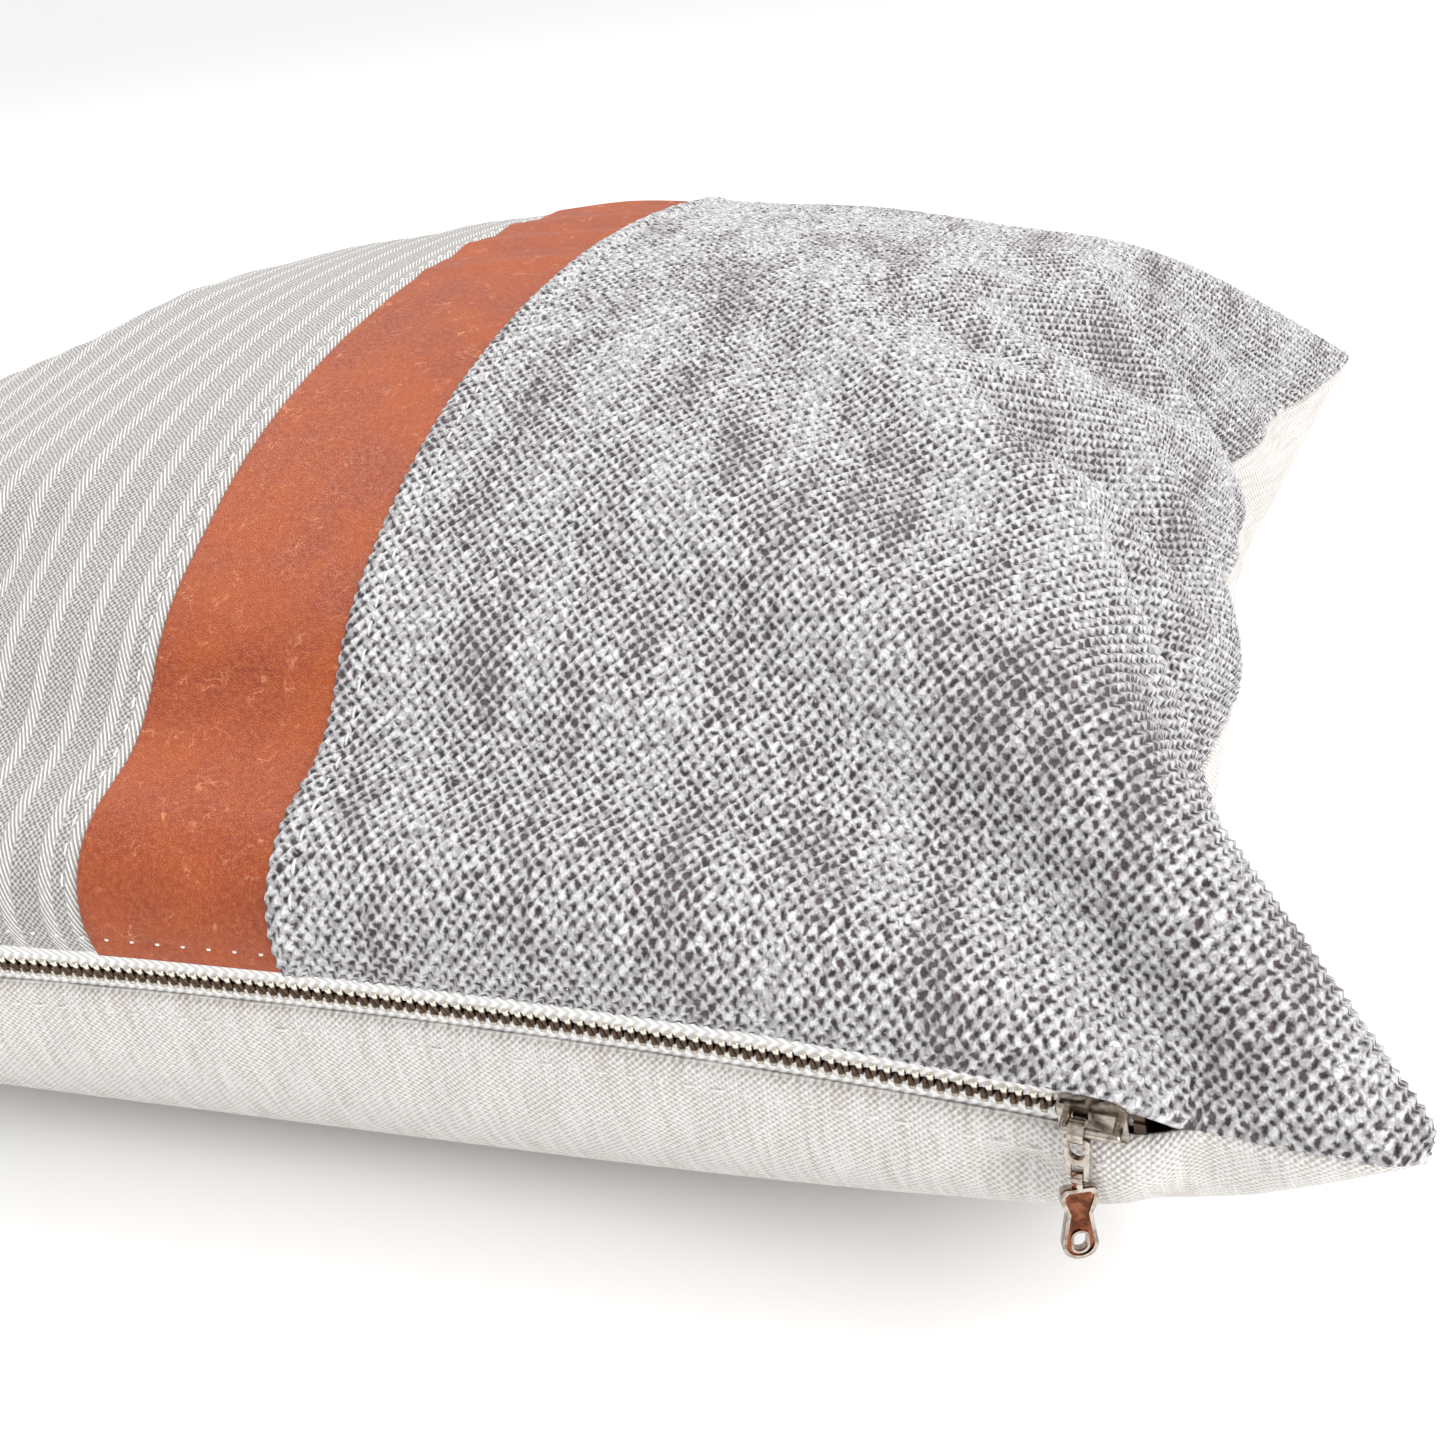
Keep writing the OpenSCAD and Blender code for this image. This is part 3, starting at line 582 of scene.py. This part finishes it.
def zip_tape_cloth():
    """White tape with slanted ribs."""
    s = Shader("zip_tape")
    u, v, mm = s.cloth_uv()
    fold = s.math("ABSOLUTE", s.math("SUBTRACT", v, RIB_TURN))
    slant = s.math("DIVIDE", s.math("ADD", u, s.math("MULTIPLY", fold, RIB_SLANT)), RIB_PITCH)
    rib = s.smooth(s.math("SINE", s.math("MULTIPLY", slant, 2 * math.pi)), -0.9, 0.5)
    fibre = s.noise(mm, 3.5, 3.0, 0.7)
    colour = s.mix(rib, linear(204, 202, 200), linear(236, 235, 233))
    colour = s.mix(s.smooth(fibre, 0.55, 0.8, 0.0, 0.3), colour, linear(214, 212, 210))
    normal = s.bump(s.math("ADD", rib, s.math("MULTIPLY", fibre, 0.3)), 0.0002, 0.6)
    return s.finish(Base_Color=colour, Roughness=0.8, Normal=normal, Sheen_Weight=0.1)


def thread(name, tint):
    """Twisted sewing thread."""
    s = Shader(name)
    here = s.place()
    twist = s.add("TexWave", {"Vector": here, "Scale": 1.6, "Distortion": 1.5, "Detail": 1.0}).outputs[1]
    shade = tuple(int(c * 0.8) for c in tint)
    colour = s.mix(s.smooth(twist, 0.1, 0.6), linear(*shade), linear(*tint))
    return s.finish(Base_Color=colour, Roughness=0.6, Normal=s.bump(twist, 0.0001, 0.6))


def brass():
    """Dark antique brass with painted highlights: lighter and glossier on the teeth's outer ends and outer
    faces.
    """
    s = Shader("antique_brass")
    here = s.place()
    stain = s.noise(here, 0.9, 4.0, 0.65)
    # painted highlight: where the teeth mark their outer ends and outer faces, the colour turns pale
    highlight_weight = s.add("Attribute", attribute_name="HighlightWeight").outputs["Fac"]
    painted_highlight = s.smooth(s.math("ADD", highlight_weight, s.centred(stain, 0.5)), 0.35, 0.75)
    colour = s.mix(stain, linear(52, 40, 32), linear(104, 82, 62))
    colour = s.mix(painted_highlight, colour, linear(226, 218, 204))
    rough = s.smooth(painted_highlight, 0.0, 1.0, 0.36, 0.22)
    return s.finish(Base_Color=colour, Metallic=1.0, Roughness=rough, Normal=s.bump(stain, 0.00003, 0.5))


def nickel(name="nickel", sunk=None):
    """Polished nickel, brown where dirt stays. Sunk gives a direction and two depths along it:
    the face at the first depth is dark, and the rim at the second is bright."""
    s = Shader(name)
    here = s.place()
    brushed = s.scaled(here, (0.6, 2.0, 6.0))
    fine = s.noise(brushed, 1.2, 3.0, 0.6)
    tarnish = s.noise(here, 0.5, 3.0, 0.6)
    colour = s.mix(s.smooth(tarnish, 0.35, 0.75), linear(190, 182, 172), linear(122, 104, 90))
    if sunk is not None:
        normal, floor_depth, rim_depth = sunk
        depth = s.add("VectorMath", {0: here, 1: tuple(normal)}, operation="DOT_PRODUCT").outputs["Value"]
        rise = (rim_depth - floor_depth) / MM
        low = s.smooth(depth, floor_depth / MM + 0.3 * rise, floor_depth / MM + 0.8 * rise)
        low = s.math("MAXIMUM", low, s.smooth(depth, floor_depth / MM - 0.1, floor_depth / MM - 0.25))
        stain = s.mix(s.smooth(tarnish, 0.35, 0.65), linear(84, 48, 34), linear(140, 86, 62))
        colour = s.mix(low, stain, colour)
    rough = s.smooth(fine, 0.3, 0.7, 0.1, 0.2)
    return s.finish(Base_Color=colour, Metallic=1.0, Roughness=rough, Normal=s.bump(fine, 0.00001, 0.4))


def sunk_face(name):
    """Direction and depths of a CAD node's sunk front face and of the rim round it."""
    mesh = frame["nodes"][name].data
    totals = {}
    for polygon in mesh.polygons:
        if abs(polygon.normal.z) < 0.1 and polygon.normal.y < -0.3:
            key = tuple(round(c, 2) for c in polygon.normal)
            totals[key] = totals.get(key, 0) + polygon.area
    normal = Vector(max(totals, key=totals.get)).normalized()
    faces = {}
    for polygon in mesh.polygons:
        if polygon.normal.dot(normal) > 0.995:
            depth = round(polygon.center.dot(normal), 5)
            faces[depth] = faces.get(depth, 0) + polygon.area
    rim = max(faces)
    below = {depth: area for depth, area in faces.items() if depth < rim - 0.1 * MM}
    return normal, max(below, key=below.get) if below else rim - 0.2 * MM, rim


def soft_white(name, tint, scale):
    """Non-woven shell or loose fibre."""
    s = Shader(name)
    here = s.place()
    fluff = s.noise(here, scale, 5.0, 0.7, 1.5)
    shade = tuple(int(c * 0.93) for c in tint)
    colour = s.mix(s.smooth(fluff, 0.3, 0.7), linear(*shade), linear(*tint))
    return s.finish(Base_Color=colour, Roughness=0.95, Normal=s.bump(fluff, 0.0008, 0.6))


# ---- cover panels ------------------------------------------------------------------------
YARNS_U, YARNS_V = 152, 284  # crossings over the grey panel
LUMP = 0.38 * MM  # height of a crossing
LAP = 1.6 * MM  # the grey panel laps this far over the leather


def make_grey_panel(top, material):
    """Chunky weave: each yarn that is on top stands out. Its folded edge laps over the leather."""
    lap = BAND_HALF - LAP
    cu = np.concatenate([[0], np.arange(YARNS_U) + 0.5, [YARNS_U]])
    cv = np.concatenate([[0], np.arange(YARNS_V) + 0.5, [YARNS_V]])
    u, v = lap + cu * (HALF - lap) / YARNS_U, -HALF + cv * COVER / YARNS_V
    size = np.random.default_rng(6).uniform(0.55, 1.4, (len(u), len(v)))
    lumps = np.cos(np.arange(len(u)) * math.pi)[:, None] * np.cos(np.arange(len(v)) * math.pi)[None, :] * size
    d_lap = u - lap
    fold = 1.0 * MM * (1 - np.clip((d_lap - 5 * MM) / (3 * MM), 0, 1))
    fold = fold - 0.6 * MM * groove(d_lap - 5.8 * MM, 0.9 * MM)
    base = (1.5 * MM + fold)[:, None] * rolled(d_lap, 1.6 * MM)[:, None]
    side_roll = rolled(edge_distances(u, v, [HALF]), 2.0 * MM)
    lift = base * side_roll + lumps * LUMP
    flat = np.meshgrid((cu + 0.5) * MM, (cv + 0.5) * MM, indexing="ij")
    return cloth_piece("grey_panel_weave", top, u, v, lift, 1.4 * MM, 3, material, weave=flat)


def make_striped_panel(top, material):
    """Fine cloth with raised stripes, sunk along its seam with the leather."""
    edge = -BAND_HALF
    u = even(-HALF, edge, 1.35 * MM, 3)
    v = even(-HALF, HALF, 1.35 * MM, 3)
    uu = np.meshgrid(u / MM, v / MM, indexing="ij")[0]
    stripes = (uu - STRIPE_FIRST) / STRIPE_PITCH
    off = np.abs(stripes - np.round(stripes)) * STRIPE_PITCH
    cord = np.clip((STRIPE_WIDTH / 2 + 0.5 - off) / 1.0, 0, 1) * 0.2 * MM
    seam = edge - u
    seam_dip = -0.7 * MM * groove(seam, 1.6 * MM)
    stitch_dip = 0.3 * MM * groove(seam - STRIPED_STITCH_IN, 0.8 * MM)
    sunk = (seam_dip - stitch_dip)[:, None]
    roll = rolled(edge_distances(u, v, [-HALF]), 1.8 * MM)
    lift = (CLOTH + cord) * roll + sunk
    return cloth_piece("striped_panel_cloth", top, u, v, lift, CLOTH, 3, material)


# folds across the leather: place along the band, slant, width and height, in millimetres
FOLDS = (
    (-6, 0.16, 4.5, 0.7),
    (9, 0.1, 3.5, -0.5),
    (22, 0.2, 5.0, 0.8),
    (38, 0.12, 4.0, -0.6),
    (52, 0.18, 5.5, 0.9),
    (70, 0.1, 5.0, -0.6),
    (88, 0.15, 6.0, 0.8),
    (112, 0.1, 7.0, -0.6),
    (-40, 0.1, 9.0, -0.4),
)


def make_leather_band(top, material):
    """Soft leather with rolled edges and shallow folds across the top of the pillow."""
    u = even(-BAND_HALF, BAND_HALF, 0.9 * MM, 2)
    v = even(-HALF, HALF, 0.9 * MM, 2)
    uu, vv = np.meshgrid(u / MM, v / MM, indexing="ij")
    folds = np.zeros_like(uu)
    for middle, tilt, width, depth in FOLDS:
        across = vv - middle - tilt * uu
        folds += depth * np.exp(-((across / width) ** 2))
    wave = 0.12 * np.sin(vv / 9 + 0.4 * np.sin(uu / 7)) + 0.08 * np.sin(vv / 23 + uu / 17)
    roll = rolled(u - u[0] + 0.15 * MM, 1.3 * MM)[:, None]
    front = rolled(edge_distances(u, v, []), 1.0 * MM)
    dip = -0.35 * groove(v + HALF - ZIP_STITCH_IN, 0.9 * MM)[None, :]
    lift = (1.25 * MM + (folds + wave + dip) * MM) * roll * front
    return cloth_piece("leather_band_skin", top, u, v, lift, 1.1 * MM, 2, material)


def make_back_panel(bottom, material):
    """Plain canvas, dented beside the pull and drawn in small waves along the zip."""
    u = even(-HALF, HALF, 2.2 * MM, 2)
    v = even(-HALF, HALF, 2.2 * MM, 2)
    roll = rolled(edge_distances(u, v, [-HALF, HALF]), 2.0 * MM)
    beside_pull = groove((u - 161 * MM)[:, None], 8 * MM)
    by_zip = groove((v + HALF - 12 * MM)[None, :], 4.5 * MM)
    pucker = -4.4 * beside_pull * by_zip * MM
    uu, depth = u[:, None] / MM, (v + HALF)[None, :] / MM
    drag = np.sin(uu / 2.9 + depth * 0.17) + 0.8 * np.sin(uu / 4.7 + depth * 0.11 + 1.3)
    drag = 0.3 * MM * drag * np.exp(-(((depth - 15) / 13) ** 2)) * (1 - (uu * MM / HALF) ** 4)
    lift = CLOTH * roll + pucker + drag
    return cloth_piece("back_panel_canvas", bottom, u, v, lift, CLOTH, 2, material)


# ---- stitches ----------------------------------------------------------------------------
def stitch_row(name, face, starts, along, length, radius, lift, material):
    """Short rounded threads that dip into the cloth at both ends."""
    rings, sides = 7, 8
    spread = np.linspace(-0.5, 0.5, rings)
    verts, faces = [], []
    for u, v in starts:
        pairs = [(u + along[0] * length * s, v + along[1] * length * s) for s in spread]
        points, normals = face.at(pairs, lift)
        points = points - normals * (radius * 1.6 * (2 * spread[:, None]) ** 4)
        tangent = points[-1] - points[0]
        tangent = tangent / np.linalg.norm(tangent)
        base = len(verts)
        for k, s in enumerate(spread):
            side = np.cross(tangent, normals[k])
            thick = radius * math.sqrt(max(0.08, 1 - (2 * abs(s)) ** 4))
            for q in range(sides):
                a = 2 * math.pi * q / sides
                verts.append(points[k] + thick * (math.cos(a) * side + math.sin(a) * normals[k]))
        for k in range(rings - 1):
            for q in range(sides):
                a, b = base + k * sides + q, base + k * sides + (q + 1) % sides
                faces.append((a, b, b + sides, a + sides))
        faces.append(tuple(base + q for q in reversed(range(sides))))
        faces.append(tuple(base + (rings - 1) * sides + q for q in range(sides)))
    return new_piece(name, verts, faces, material, "pillow")


def row_places(half, pitch):
    """Places pitch apart, up to half each way."""
    count = int(2 * half / pitch)
    return (np.arange(count) - (count - 1) / 2) * pitch


# ---- seam allowances and insert ----------------------------------------------------------
def between(top, bottom, u, v, depth, share):
    """Points inside the cover, depth from each face towards the other, at most share of the way."""
    upper, lower = top.points(u, v), bottom.points(u, v)
    gap = lower - upper
    length = np.linalg.norm(gap, axis=-1, keepdims=True) + 1e-9
    step = gap / length * np.minimum(depth, share * length)
    return upper + step, lower - step


def turned_edge(name, top, bottom, u, v, material, slot):
    """The turned-in edges of a seam: a thin closed strip between the two faces."""
    upper, lower = between(top, bottom, u, v, 1.0, 0.34)
    middle, thick = (upper + lower) / 2, upper - lower
    size = np.linalg.norm(thick, axis=-1, keepdims=True) + 1e-9
    thick = thick / size * np.minimum(size / 2, CLOTH)
    if upper.shape[0] > upper.shape[1]:
        middle, thick = middle.swapaxes(0, 1), thick.swapaxes(0, 1)
    n = middle.shape[1]
    verts = np.concatenate(
        [middle[0] - thick[0], middle[0] + thick[0], middle[1] + thick[1], middle[1] - thick[1]]
    )
    faces = [(3 * n, 2 * n, n, 0), (n - 1, 2 * n - 1, 3 * n - 1, 4 * n - 1)]
    for k in range(n - 1):
        for side in range(4):
            a, b = side * n + k, (side + 1) % 4 * n + k
            faces.append((a, b, b + 1, a + 1))
    piece = new_piece(name, verts, faces, material, "pillow", smooth=False)
    set_uv(piece, verts[:, :2] / (1.4 if slot == "grey_weave" else 1))
    return piece


PAD_MIDDLE = np.array([0.0, 4.0, 74.0]) * MM  # the pads are drawn in about this place


def inner_pad(name, top, bottom, size, inset, material):
    """A closed pad inside the cover: the faces up to inset from the seams, drawn in to size."""
    places = even(-HALF + inset, HALF - inset, 9 * MM, 1)
    n = len(places)
    upper, lower = (
        PAD_MIDDLE + (face.points(places, places) - PAD_MIDDLE) * size for face in (top, bottom)
    )
    ids = np.arange(n * n).reshape(n, n)
    faces = [list(q) for q in quads(ids)] + [list(q[::-1]) for q in quads(ids + n * n)]
    outline = ring(n, n)
    for a, b in zip(outline, np.roll(outline, -1)):
        faces.append([b, a, a + n * n, b + n * n])
    verts = np.concatenate([upper.reshape(-1, 3), lower.reshape(-1, 3)])
    return new_piece(name, verts, faces, material, "pillow")


# ---- zip ---------------------------------------------------------------------------------
BEND_SLOPE = math.radians(30)  # of the part of the tape that turns in under the cloth


def make_tape(name, side, material):
    """Half of the zip tape with its raised herringbone, bent in under the cloth."""
    show = UPPER_SHOW if side > 0 else LOWER_SHOW
    bend = show - 0.6 * MM
    u = even(-TAPE_HALF, TAPE_HALF, 0.5 * MM, 1)
    w = np.concatenate([even(1.0 * MM, bend, 0.5 * MM, 1), bend + even(0, TAPE_W - bend, 1.2 * MM, 1)[1:]])
    narrow = np.clip((TAPE_HALF + 2 * MM - np.abs(u)) / (9 * MM), 0.15, 1)
    if side > 0:
        narrow = narrow * upper_show(u) / UPPER_SHOW
    slope = np.stack([np.sin(u / ZIP_R), np.cos(u / ZIP_R), np.zeros_like(u)], -1)
    slope = slope * math.cos(BEND_SLOPE)
    verts, flat = [], []
    for out in (-1, 1):
        for reach in w:
            up = min(reach, bend) * narrow
            rib = 0.0
            if out < 0:
                fold = abs(reach / MM - RIB_TURN)
                wave = np.sin((u / MM + RIB_SLANT * fold) / RIB_PITCH * 2 * math.pi)
                rib = 0.12 * MM * np.clip(wave + 0.4, 0, 1)
            row = zip_point(u, out * TAPE_T / 2 - rib, side * up)
            past = (max(0.0, reach - bend) * narrow**3)[:, None]
            row = row + past * (slope + np.array([0, 0, side * math.sin(BEND_SLOPE)]))
            verts.append(row)
            flat.append(np.stack([u, np.full_like(u, reach)], -1))
    n, m = len(w), len(u)
    ids = np.arange(n * m).reshape(n, m)
    other = ids + n * m
    faces = [list(q) for q in quads(ids)] + [list(q[::-1]) for q in quads(other)]
    outline = ring(n, m)
    for a, b in zip(outline, np.roll(outline, -1)):
        faces.append([b, a, a + n * m, b + n * m])
    if side > 0:
        faces = [f[::-1] for f in faces]
    piece = new_piece(name, np.concatenate(verts), faces, material, "pillow")
    set_uv(piece, np.concatenate(flat))
    return piece


TOOTH_RINGS = (
    # height over the chain's middle, width along the chain, thickness, in millimetres
    (-0.95, 0.5, 1.0),
    (-0.8, 0.95, 1.9),
    (-0.3, 1.1, 2.25),
    (0.5, 1.1, 2.25),
    (0.95, 1.2, 2.3),
    (1.3, 1.4, 2.35),
    (2.5, 1.4, 2.35),
    (2.75, 1.2, 2.1),
    (2.85, 0.7, 1.5),
)
TOOTH_SIDES = 12


def tooth_shift(x):
    """How far the slider's divider parts the rows at x."""
    return TOOTH_SPREAD * np.clip((x - (SLIDER_X - 1 * MM)) / (5 * MM), 0, 1)


def make_teeth(name, side, material):
    """A row of rounded metal teeth clamped on the tape, with a weight for the painted highlight: 1 on their
    outer ends, and raised on their outer faces.
    """
    count = int(2 * CHAIN_HALF / TOOTH_PITCH)
    first = -(count - 0.5) * TOOTH_PITCH / 2 + (0 if side > 0 else TOOTH_PITCH / 2)
    angles = (np.arange(TOOTH_SIDES) + 0.5) * 2 * math.pi / TOOTH_SIDES
    square = 0.55
    cx = np.sign(np.cos(angles)) * np.abs(np.cos(angles)) ** square
    cy = np.sign(np.sin(angles)) * np.abs(np.sin(angles)) ** square
    verts, faces, highlight_weight = [], [], []
    for i in range(count):
        x = first + i * TOOTH_PITCH
        base = len(verts) * TOOTH_SIDES
        for up, width, thick in TOOTH_RINGS:
            verts.append(
                zip_point(x + cx * width / 2 * MM, cy * thick / 2 * MM, side * (up * MM + tooth_shift(x)))
            )
            # painted highlight: the outer ends and the outer face of each tooth are marked to be drawn pale
            reach = np.clip((up - 1.6) / 1.2, 0, 1)
            highlight_weight.append(np.clip(reach + 0.35 * (cy < -0.8), 0, 1) * np.ones(TOOTH_SIDES))
        for k in range(len(TOOTH_RINGS) - 1):
            for q in range(TOOTH_SIDES):
                a, b = base + k * TOOTH_SIDES + q, base + k * TOOTH_SIDES + (q + 1) % TOOTH_SIDES
                faces.append((a, b, b + TOOTH_SIDES, a + TOOTH_SIDES))
        faces.append(tuple(base + q for q in reversed(range(TOOTH_SIDES))))
        top_ring = base + (len(TOOTH_RINGS) - 1) * TOOTH_SIDES
        faces.append(tuple(top_ring + q for q in range(TOOTH_SIDES)))
    if side < 0:
        faces = [f[::-1] for f in faces]
    piece = new_piece(name, np.concatenate(verts), faces, material, "pillow")
    attribute = piece.data.attributes.new("HighlightWeight", "FLOAT", "POINT")
    attribute.data.foreach_set("value", np.concatenate(highlight_weight).astype(np.float32))
    return piece


def dress_node(name, material, width):
    """Gives a CAD node its finish and rounds its edges."""
    node = frame["nodes"][name]
    node.data.materials.clear()
    node.data.materials.append(material)
    bevel = node.modifiers.new("rounded_edges", "BEVEL")
    bevel.width, bevel.segments, bevel.limit_method = width, 3, "ANGLE"
    bevel.angle_limit = math.radians(28)
    bevel.harden_normals = False
    for polygon in node.data.polygons:
        polygon.use_smooth = True
    smooth = node.modifiers.new("kept_edges", "WEIGHTED_NORMAL")
    smooth.keep_sharp = False


# ---- the pillow --------------------------------------------------------------------------
grey, striped, tan, white = grey_weave(), striped_ticking(), leather(), canvas()
tape, metal, shiny = zip_tape_cloth(), brass(), nickel()
tab_finish = nickel("tab_nickel", sunk_face("pull_tab"))
white_thread, grey_thread = thread("white_thread", (250, 248, 244)), thread("grey_thread", (232, 231, 233))
shell_cloth = soft_white("insert_shell", (247, 247, 245), 0.5)
fibre = soft_white("fibre_fill", (250, 250, 250), 0.15)

upper_grid, lower_grid = fill_cover()
top, bottom = Face(upper_grid, 1), Face(lower_grid, -1)

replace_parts(make_striped_panel(top, striped), "striped_panel")
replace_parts(make_leather_band(top, tan), "leather_band")
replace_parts(make_grey_panel(top, grey), "grey_panel")
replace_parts(make_back_panel(bottom, white), "back_panel")

rows = row_places(0.94 * HALF, STITCH_PITCH)
grey_row = [(BAND_HALF + GREY_STITCH_IN, v) for v in rows]
striped_row = [(-BAND_HALF - STRIPED_STITCH_IN, v) for v in rows]
zip_row = [(u, -HALF + ZIP_STITCH_IN) for u in row_places(CHAIN_HALF, STITCH_PITCH)]
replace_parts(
    stitch_row("grey_topstitches", top, grey_row, (0, 1), 3.2 * MM, 0.3 * MM, 2.1 * MM, grey_thread),
    "grey_topstitching",
)
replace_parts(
    stitch_row(
        "striped_seam_stitches", top, striped_row, (0, 1), 3.2 * MM, 0.26 * MM, 0.75 * MM, white_thread
    ),
    "striped_seam_stitching",
)
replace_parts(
    stitch_row("zip_upper_stitches", top, zip_row, (1, 0), 1.2 * MM, 0.3 * MM, 1.0 * MM, white_thread),
    "zip_upper_stitching",
)
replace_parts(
    stitch_row(
        "zip_lower_stitches", bottom, zip_row, (1, 0), 3.0 * MM, 0.28 * MM, 0.95 * MM, white_thread
    ),
    "zip_lower_stitching",
)

along_seam = np.linspace(-0.78 * HALF, 0.78 * HALF, 37)
turned_in = HALF - np.array([2.0, 7.6]) * MM
for edge_name, u, v, finish, finish_slot, node_name in (
    ("turned_edge_left", -turned_in, along_seam, striped, "striped_ticking", "seam_allowance_left"),
    ("turned_edge_right", turned_in, along_seam, grey, "grey_weave", "seam_allowance_right"),
    ("turned_edge_back", along_seam, turned_in, white, "canvas", "seam_allowance_back"),
):
    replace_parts(turned_edge(edge_name, top, bottom, u, v, finish, finish_slot), node_name)

insert = inner_pad("insert_shell_pad", top, bottom, 0.93, 18 * MM, shell_cloth)
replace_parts(insert, "insert_front_cover", "insert_back_cover", "insert_closing_seam")
fill = inner_pad("insert_filling", top, bottom, 0.91, 22 * MM, fibre)
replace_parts(fill, "insert_fill")

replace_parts(make_tape("zip_tape_upper_weave", 1, tape), "zip_tape_upper")
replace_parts(make_tape("zip_tape_lower_weave", -1, tape), "zip_tape_lower")
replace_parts(make_teeth("zip_teeth_upper_row", 1, metal), "zip_teeth_upper")
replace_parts(make_teeth("zip_teeth_lower_row", -1, metal), "zip_teeth_lower")
for node_name, edge_width in (("zip_top_stops", 0.25 * MM), ("zip_bottom_stop", 0.25 * MM)):
    dress_node(node_name, metal, edge_width)
for node_name, finish, edge_width in (
    ("slider_body", shiny, 0.3 * MM),
    ("slider_crown", shiny, 0.1 * MM),
    ("pull_link", shiny, 0.16 * MM),
    ("pull_tab", tab_finish, 0.16 * MM),
):
    dress_node(node_name, finish, edge_width)

# ---- floor, light and camera -------------------------------------------------------------
FLOOR_HALF = 15.0
floor_mesh = bpy.data.meshes.new("floor")
floor_corners = [(x * FLOOR_HALF, y * FLOOR_HALF, 0) for x, y in ((-1, -1), (1, -1), (1, 1), (-1, 1))]
floor_mesh.from_pydata(floor_corners, [], [(0, 1, 2, 3)])
floor = bpy.data.objects.new("floor", floor_mesh)
bpy.context.scene.collection.objects.link(floor)
paper = Shader("floor_paper")
grain = paper.noise(paper.place(), 0.01, 2.0)
paper_colour = paper.mix(grain, (0.955, 0.955, 0.955, 1), (0.965, 0.965, 0.965, 1))
floor_mesh.materials.append(paper.finish(Base_Color=paper_colour, Roughness=0.9))


def area_light(name, place, aim, size, power):
    """A round soft light at place, turned to aim."""
    data = bpy.data.lights.new(name, "AREA")
    data.shape, data.size, data.energy = "DISK", size, power
    light = bpy.data.objects.new(name, data)
    light.location = place
    light.rotation_euler = (Vector(aim) - Vector(place)).to_track_quat("-Z", "Y").to_euler()
    bpy.context.scene.collection.objects.link(light)


WALLS, CEILING = 0.62, 1.0  # brightness


def studio_world():
    """A bright ceiling over dimmer walls, so that metal has something to reflect."""
    world = bpy.data.worlds.new("studio")
    world.use_nodes = True
    nodes, links = world.node_tree.nodes, world.node_tree.links
    where = nodes.new("ShaderNodeTexCoord")
    parts = nodes.new("ShaderNodeSeparateXYZ")
    rise = nodes.new("ShaderNodeMapRange")
    rise.interpolation_type = "SMOOTHSTEP"
    for socket, value in (("From Min", -0.1), ("From Max", 0.7), ("To Min", WALLS), ("To Max", CEILING)):
        rise.inputs[socket].default_value = value
    links.new(where.outputs["Generated"], parts.inputs[0])
    links.new(parts.outputs[2], rise.inputs["Value"])
    links.new(rise.outputs[0], nodes["Background"].inputs[1])
    nodes["Background"].inputs[0].default_value = (1, 1, 1, 1)
    bpy.context.scene.world = world


studio_world()
area_light("key", (-0.9, 0.3, 1.5), (0, 0, 0.05), 0.9, 17)
area_light("fill", (1.5, -0.7, 0.9), (0.1, -0.1, 0.03), 1.5, 24)

CAMERA_PLACE = (0.19935, -0.42018, 0.25436)
CAMERA_YAW, CAMERA_PITCH, CAMERA_ROLL = -0.347, 0.463, -0.119
CAMERA_LENS, SENSOR = 42.8, 36.0
SHIFT = (-0.0076, -0.0111)

ahead = Vector(
    (
        math.sin(CAMERA_YAW) * math.cos(CAMERA_PITCH),
        math.cos(CAMERA_YAW) * math.cos(CAMERA_PITCH),
        -math.sin(CAMERA_PITCH),
    )
)
level = Vector((math.cos(CAMERA_YAW), -math.sin(CAMERA_YAW), 0))
upright = level.cross(ahead)
right = math.cos(CAMERA_ROLL) * level + math.sin(CAMERA_ROLL) * upright
up = math.cos(CAMERA_ROLL) * upright - math.sin(CAMERA_ROLL) * level
camera_data = bpy.data.cameras.new("camera")
camera_data.sensor_width, camera_data.lens = SENSOR, CAMERA_LENS
camera_data.shift_x, camera_data.shift_y = SHIFT
camera_data.clip_start = 0.01
camera = bpy.data.objects.new("camera", camera_data)
camera.matrix_world = Matrix((right, up, -ahead)).transposed().to_4x4()
camera.location = CAMERA_PLACE
bpy.context.scene.collection.objects.link(camera)
bpy.context.scene.camera = camera
bpy.context.scene.view_settings.view_transform = "Standard"
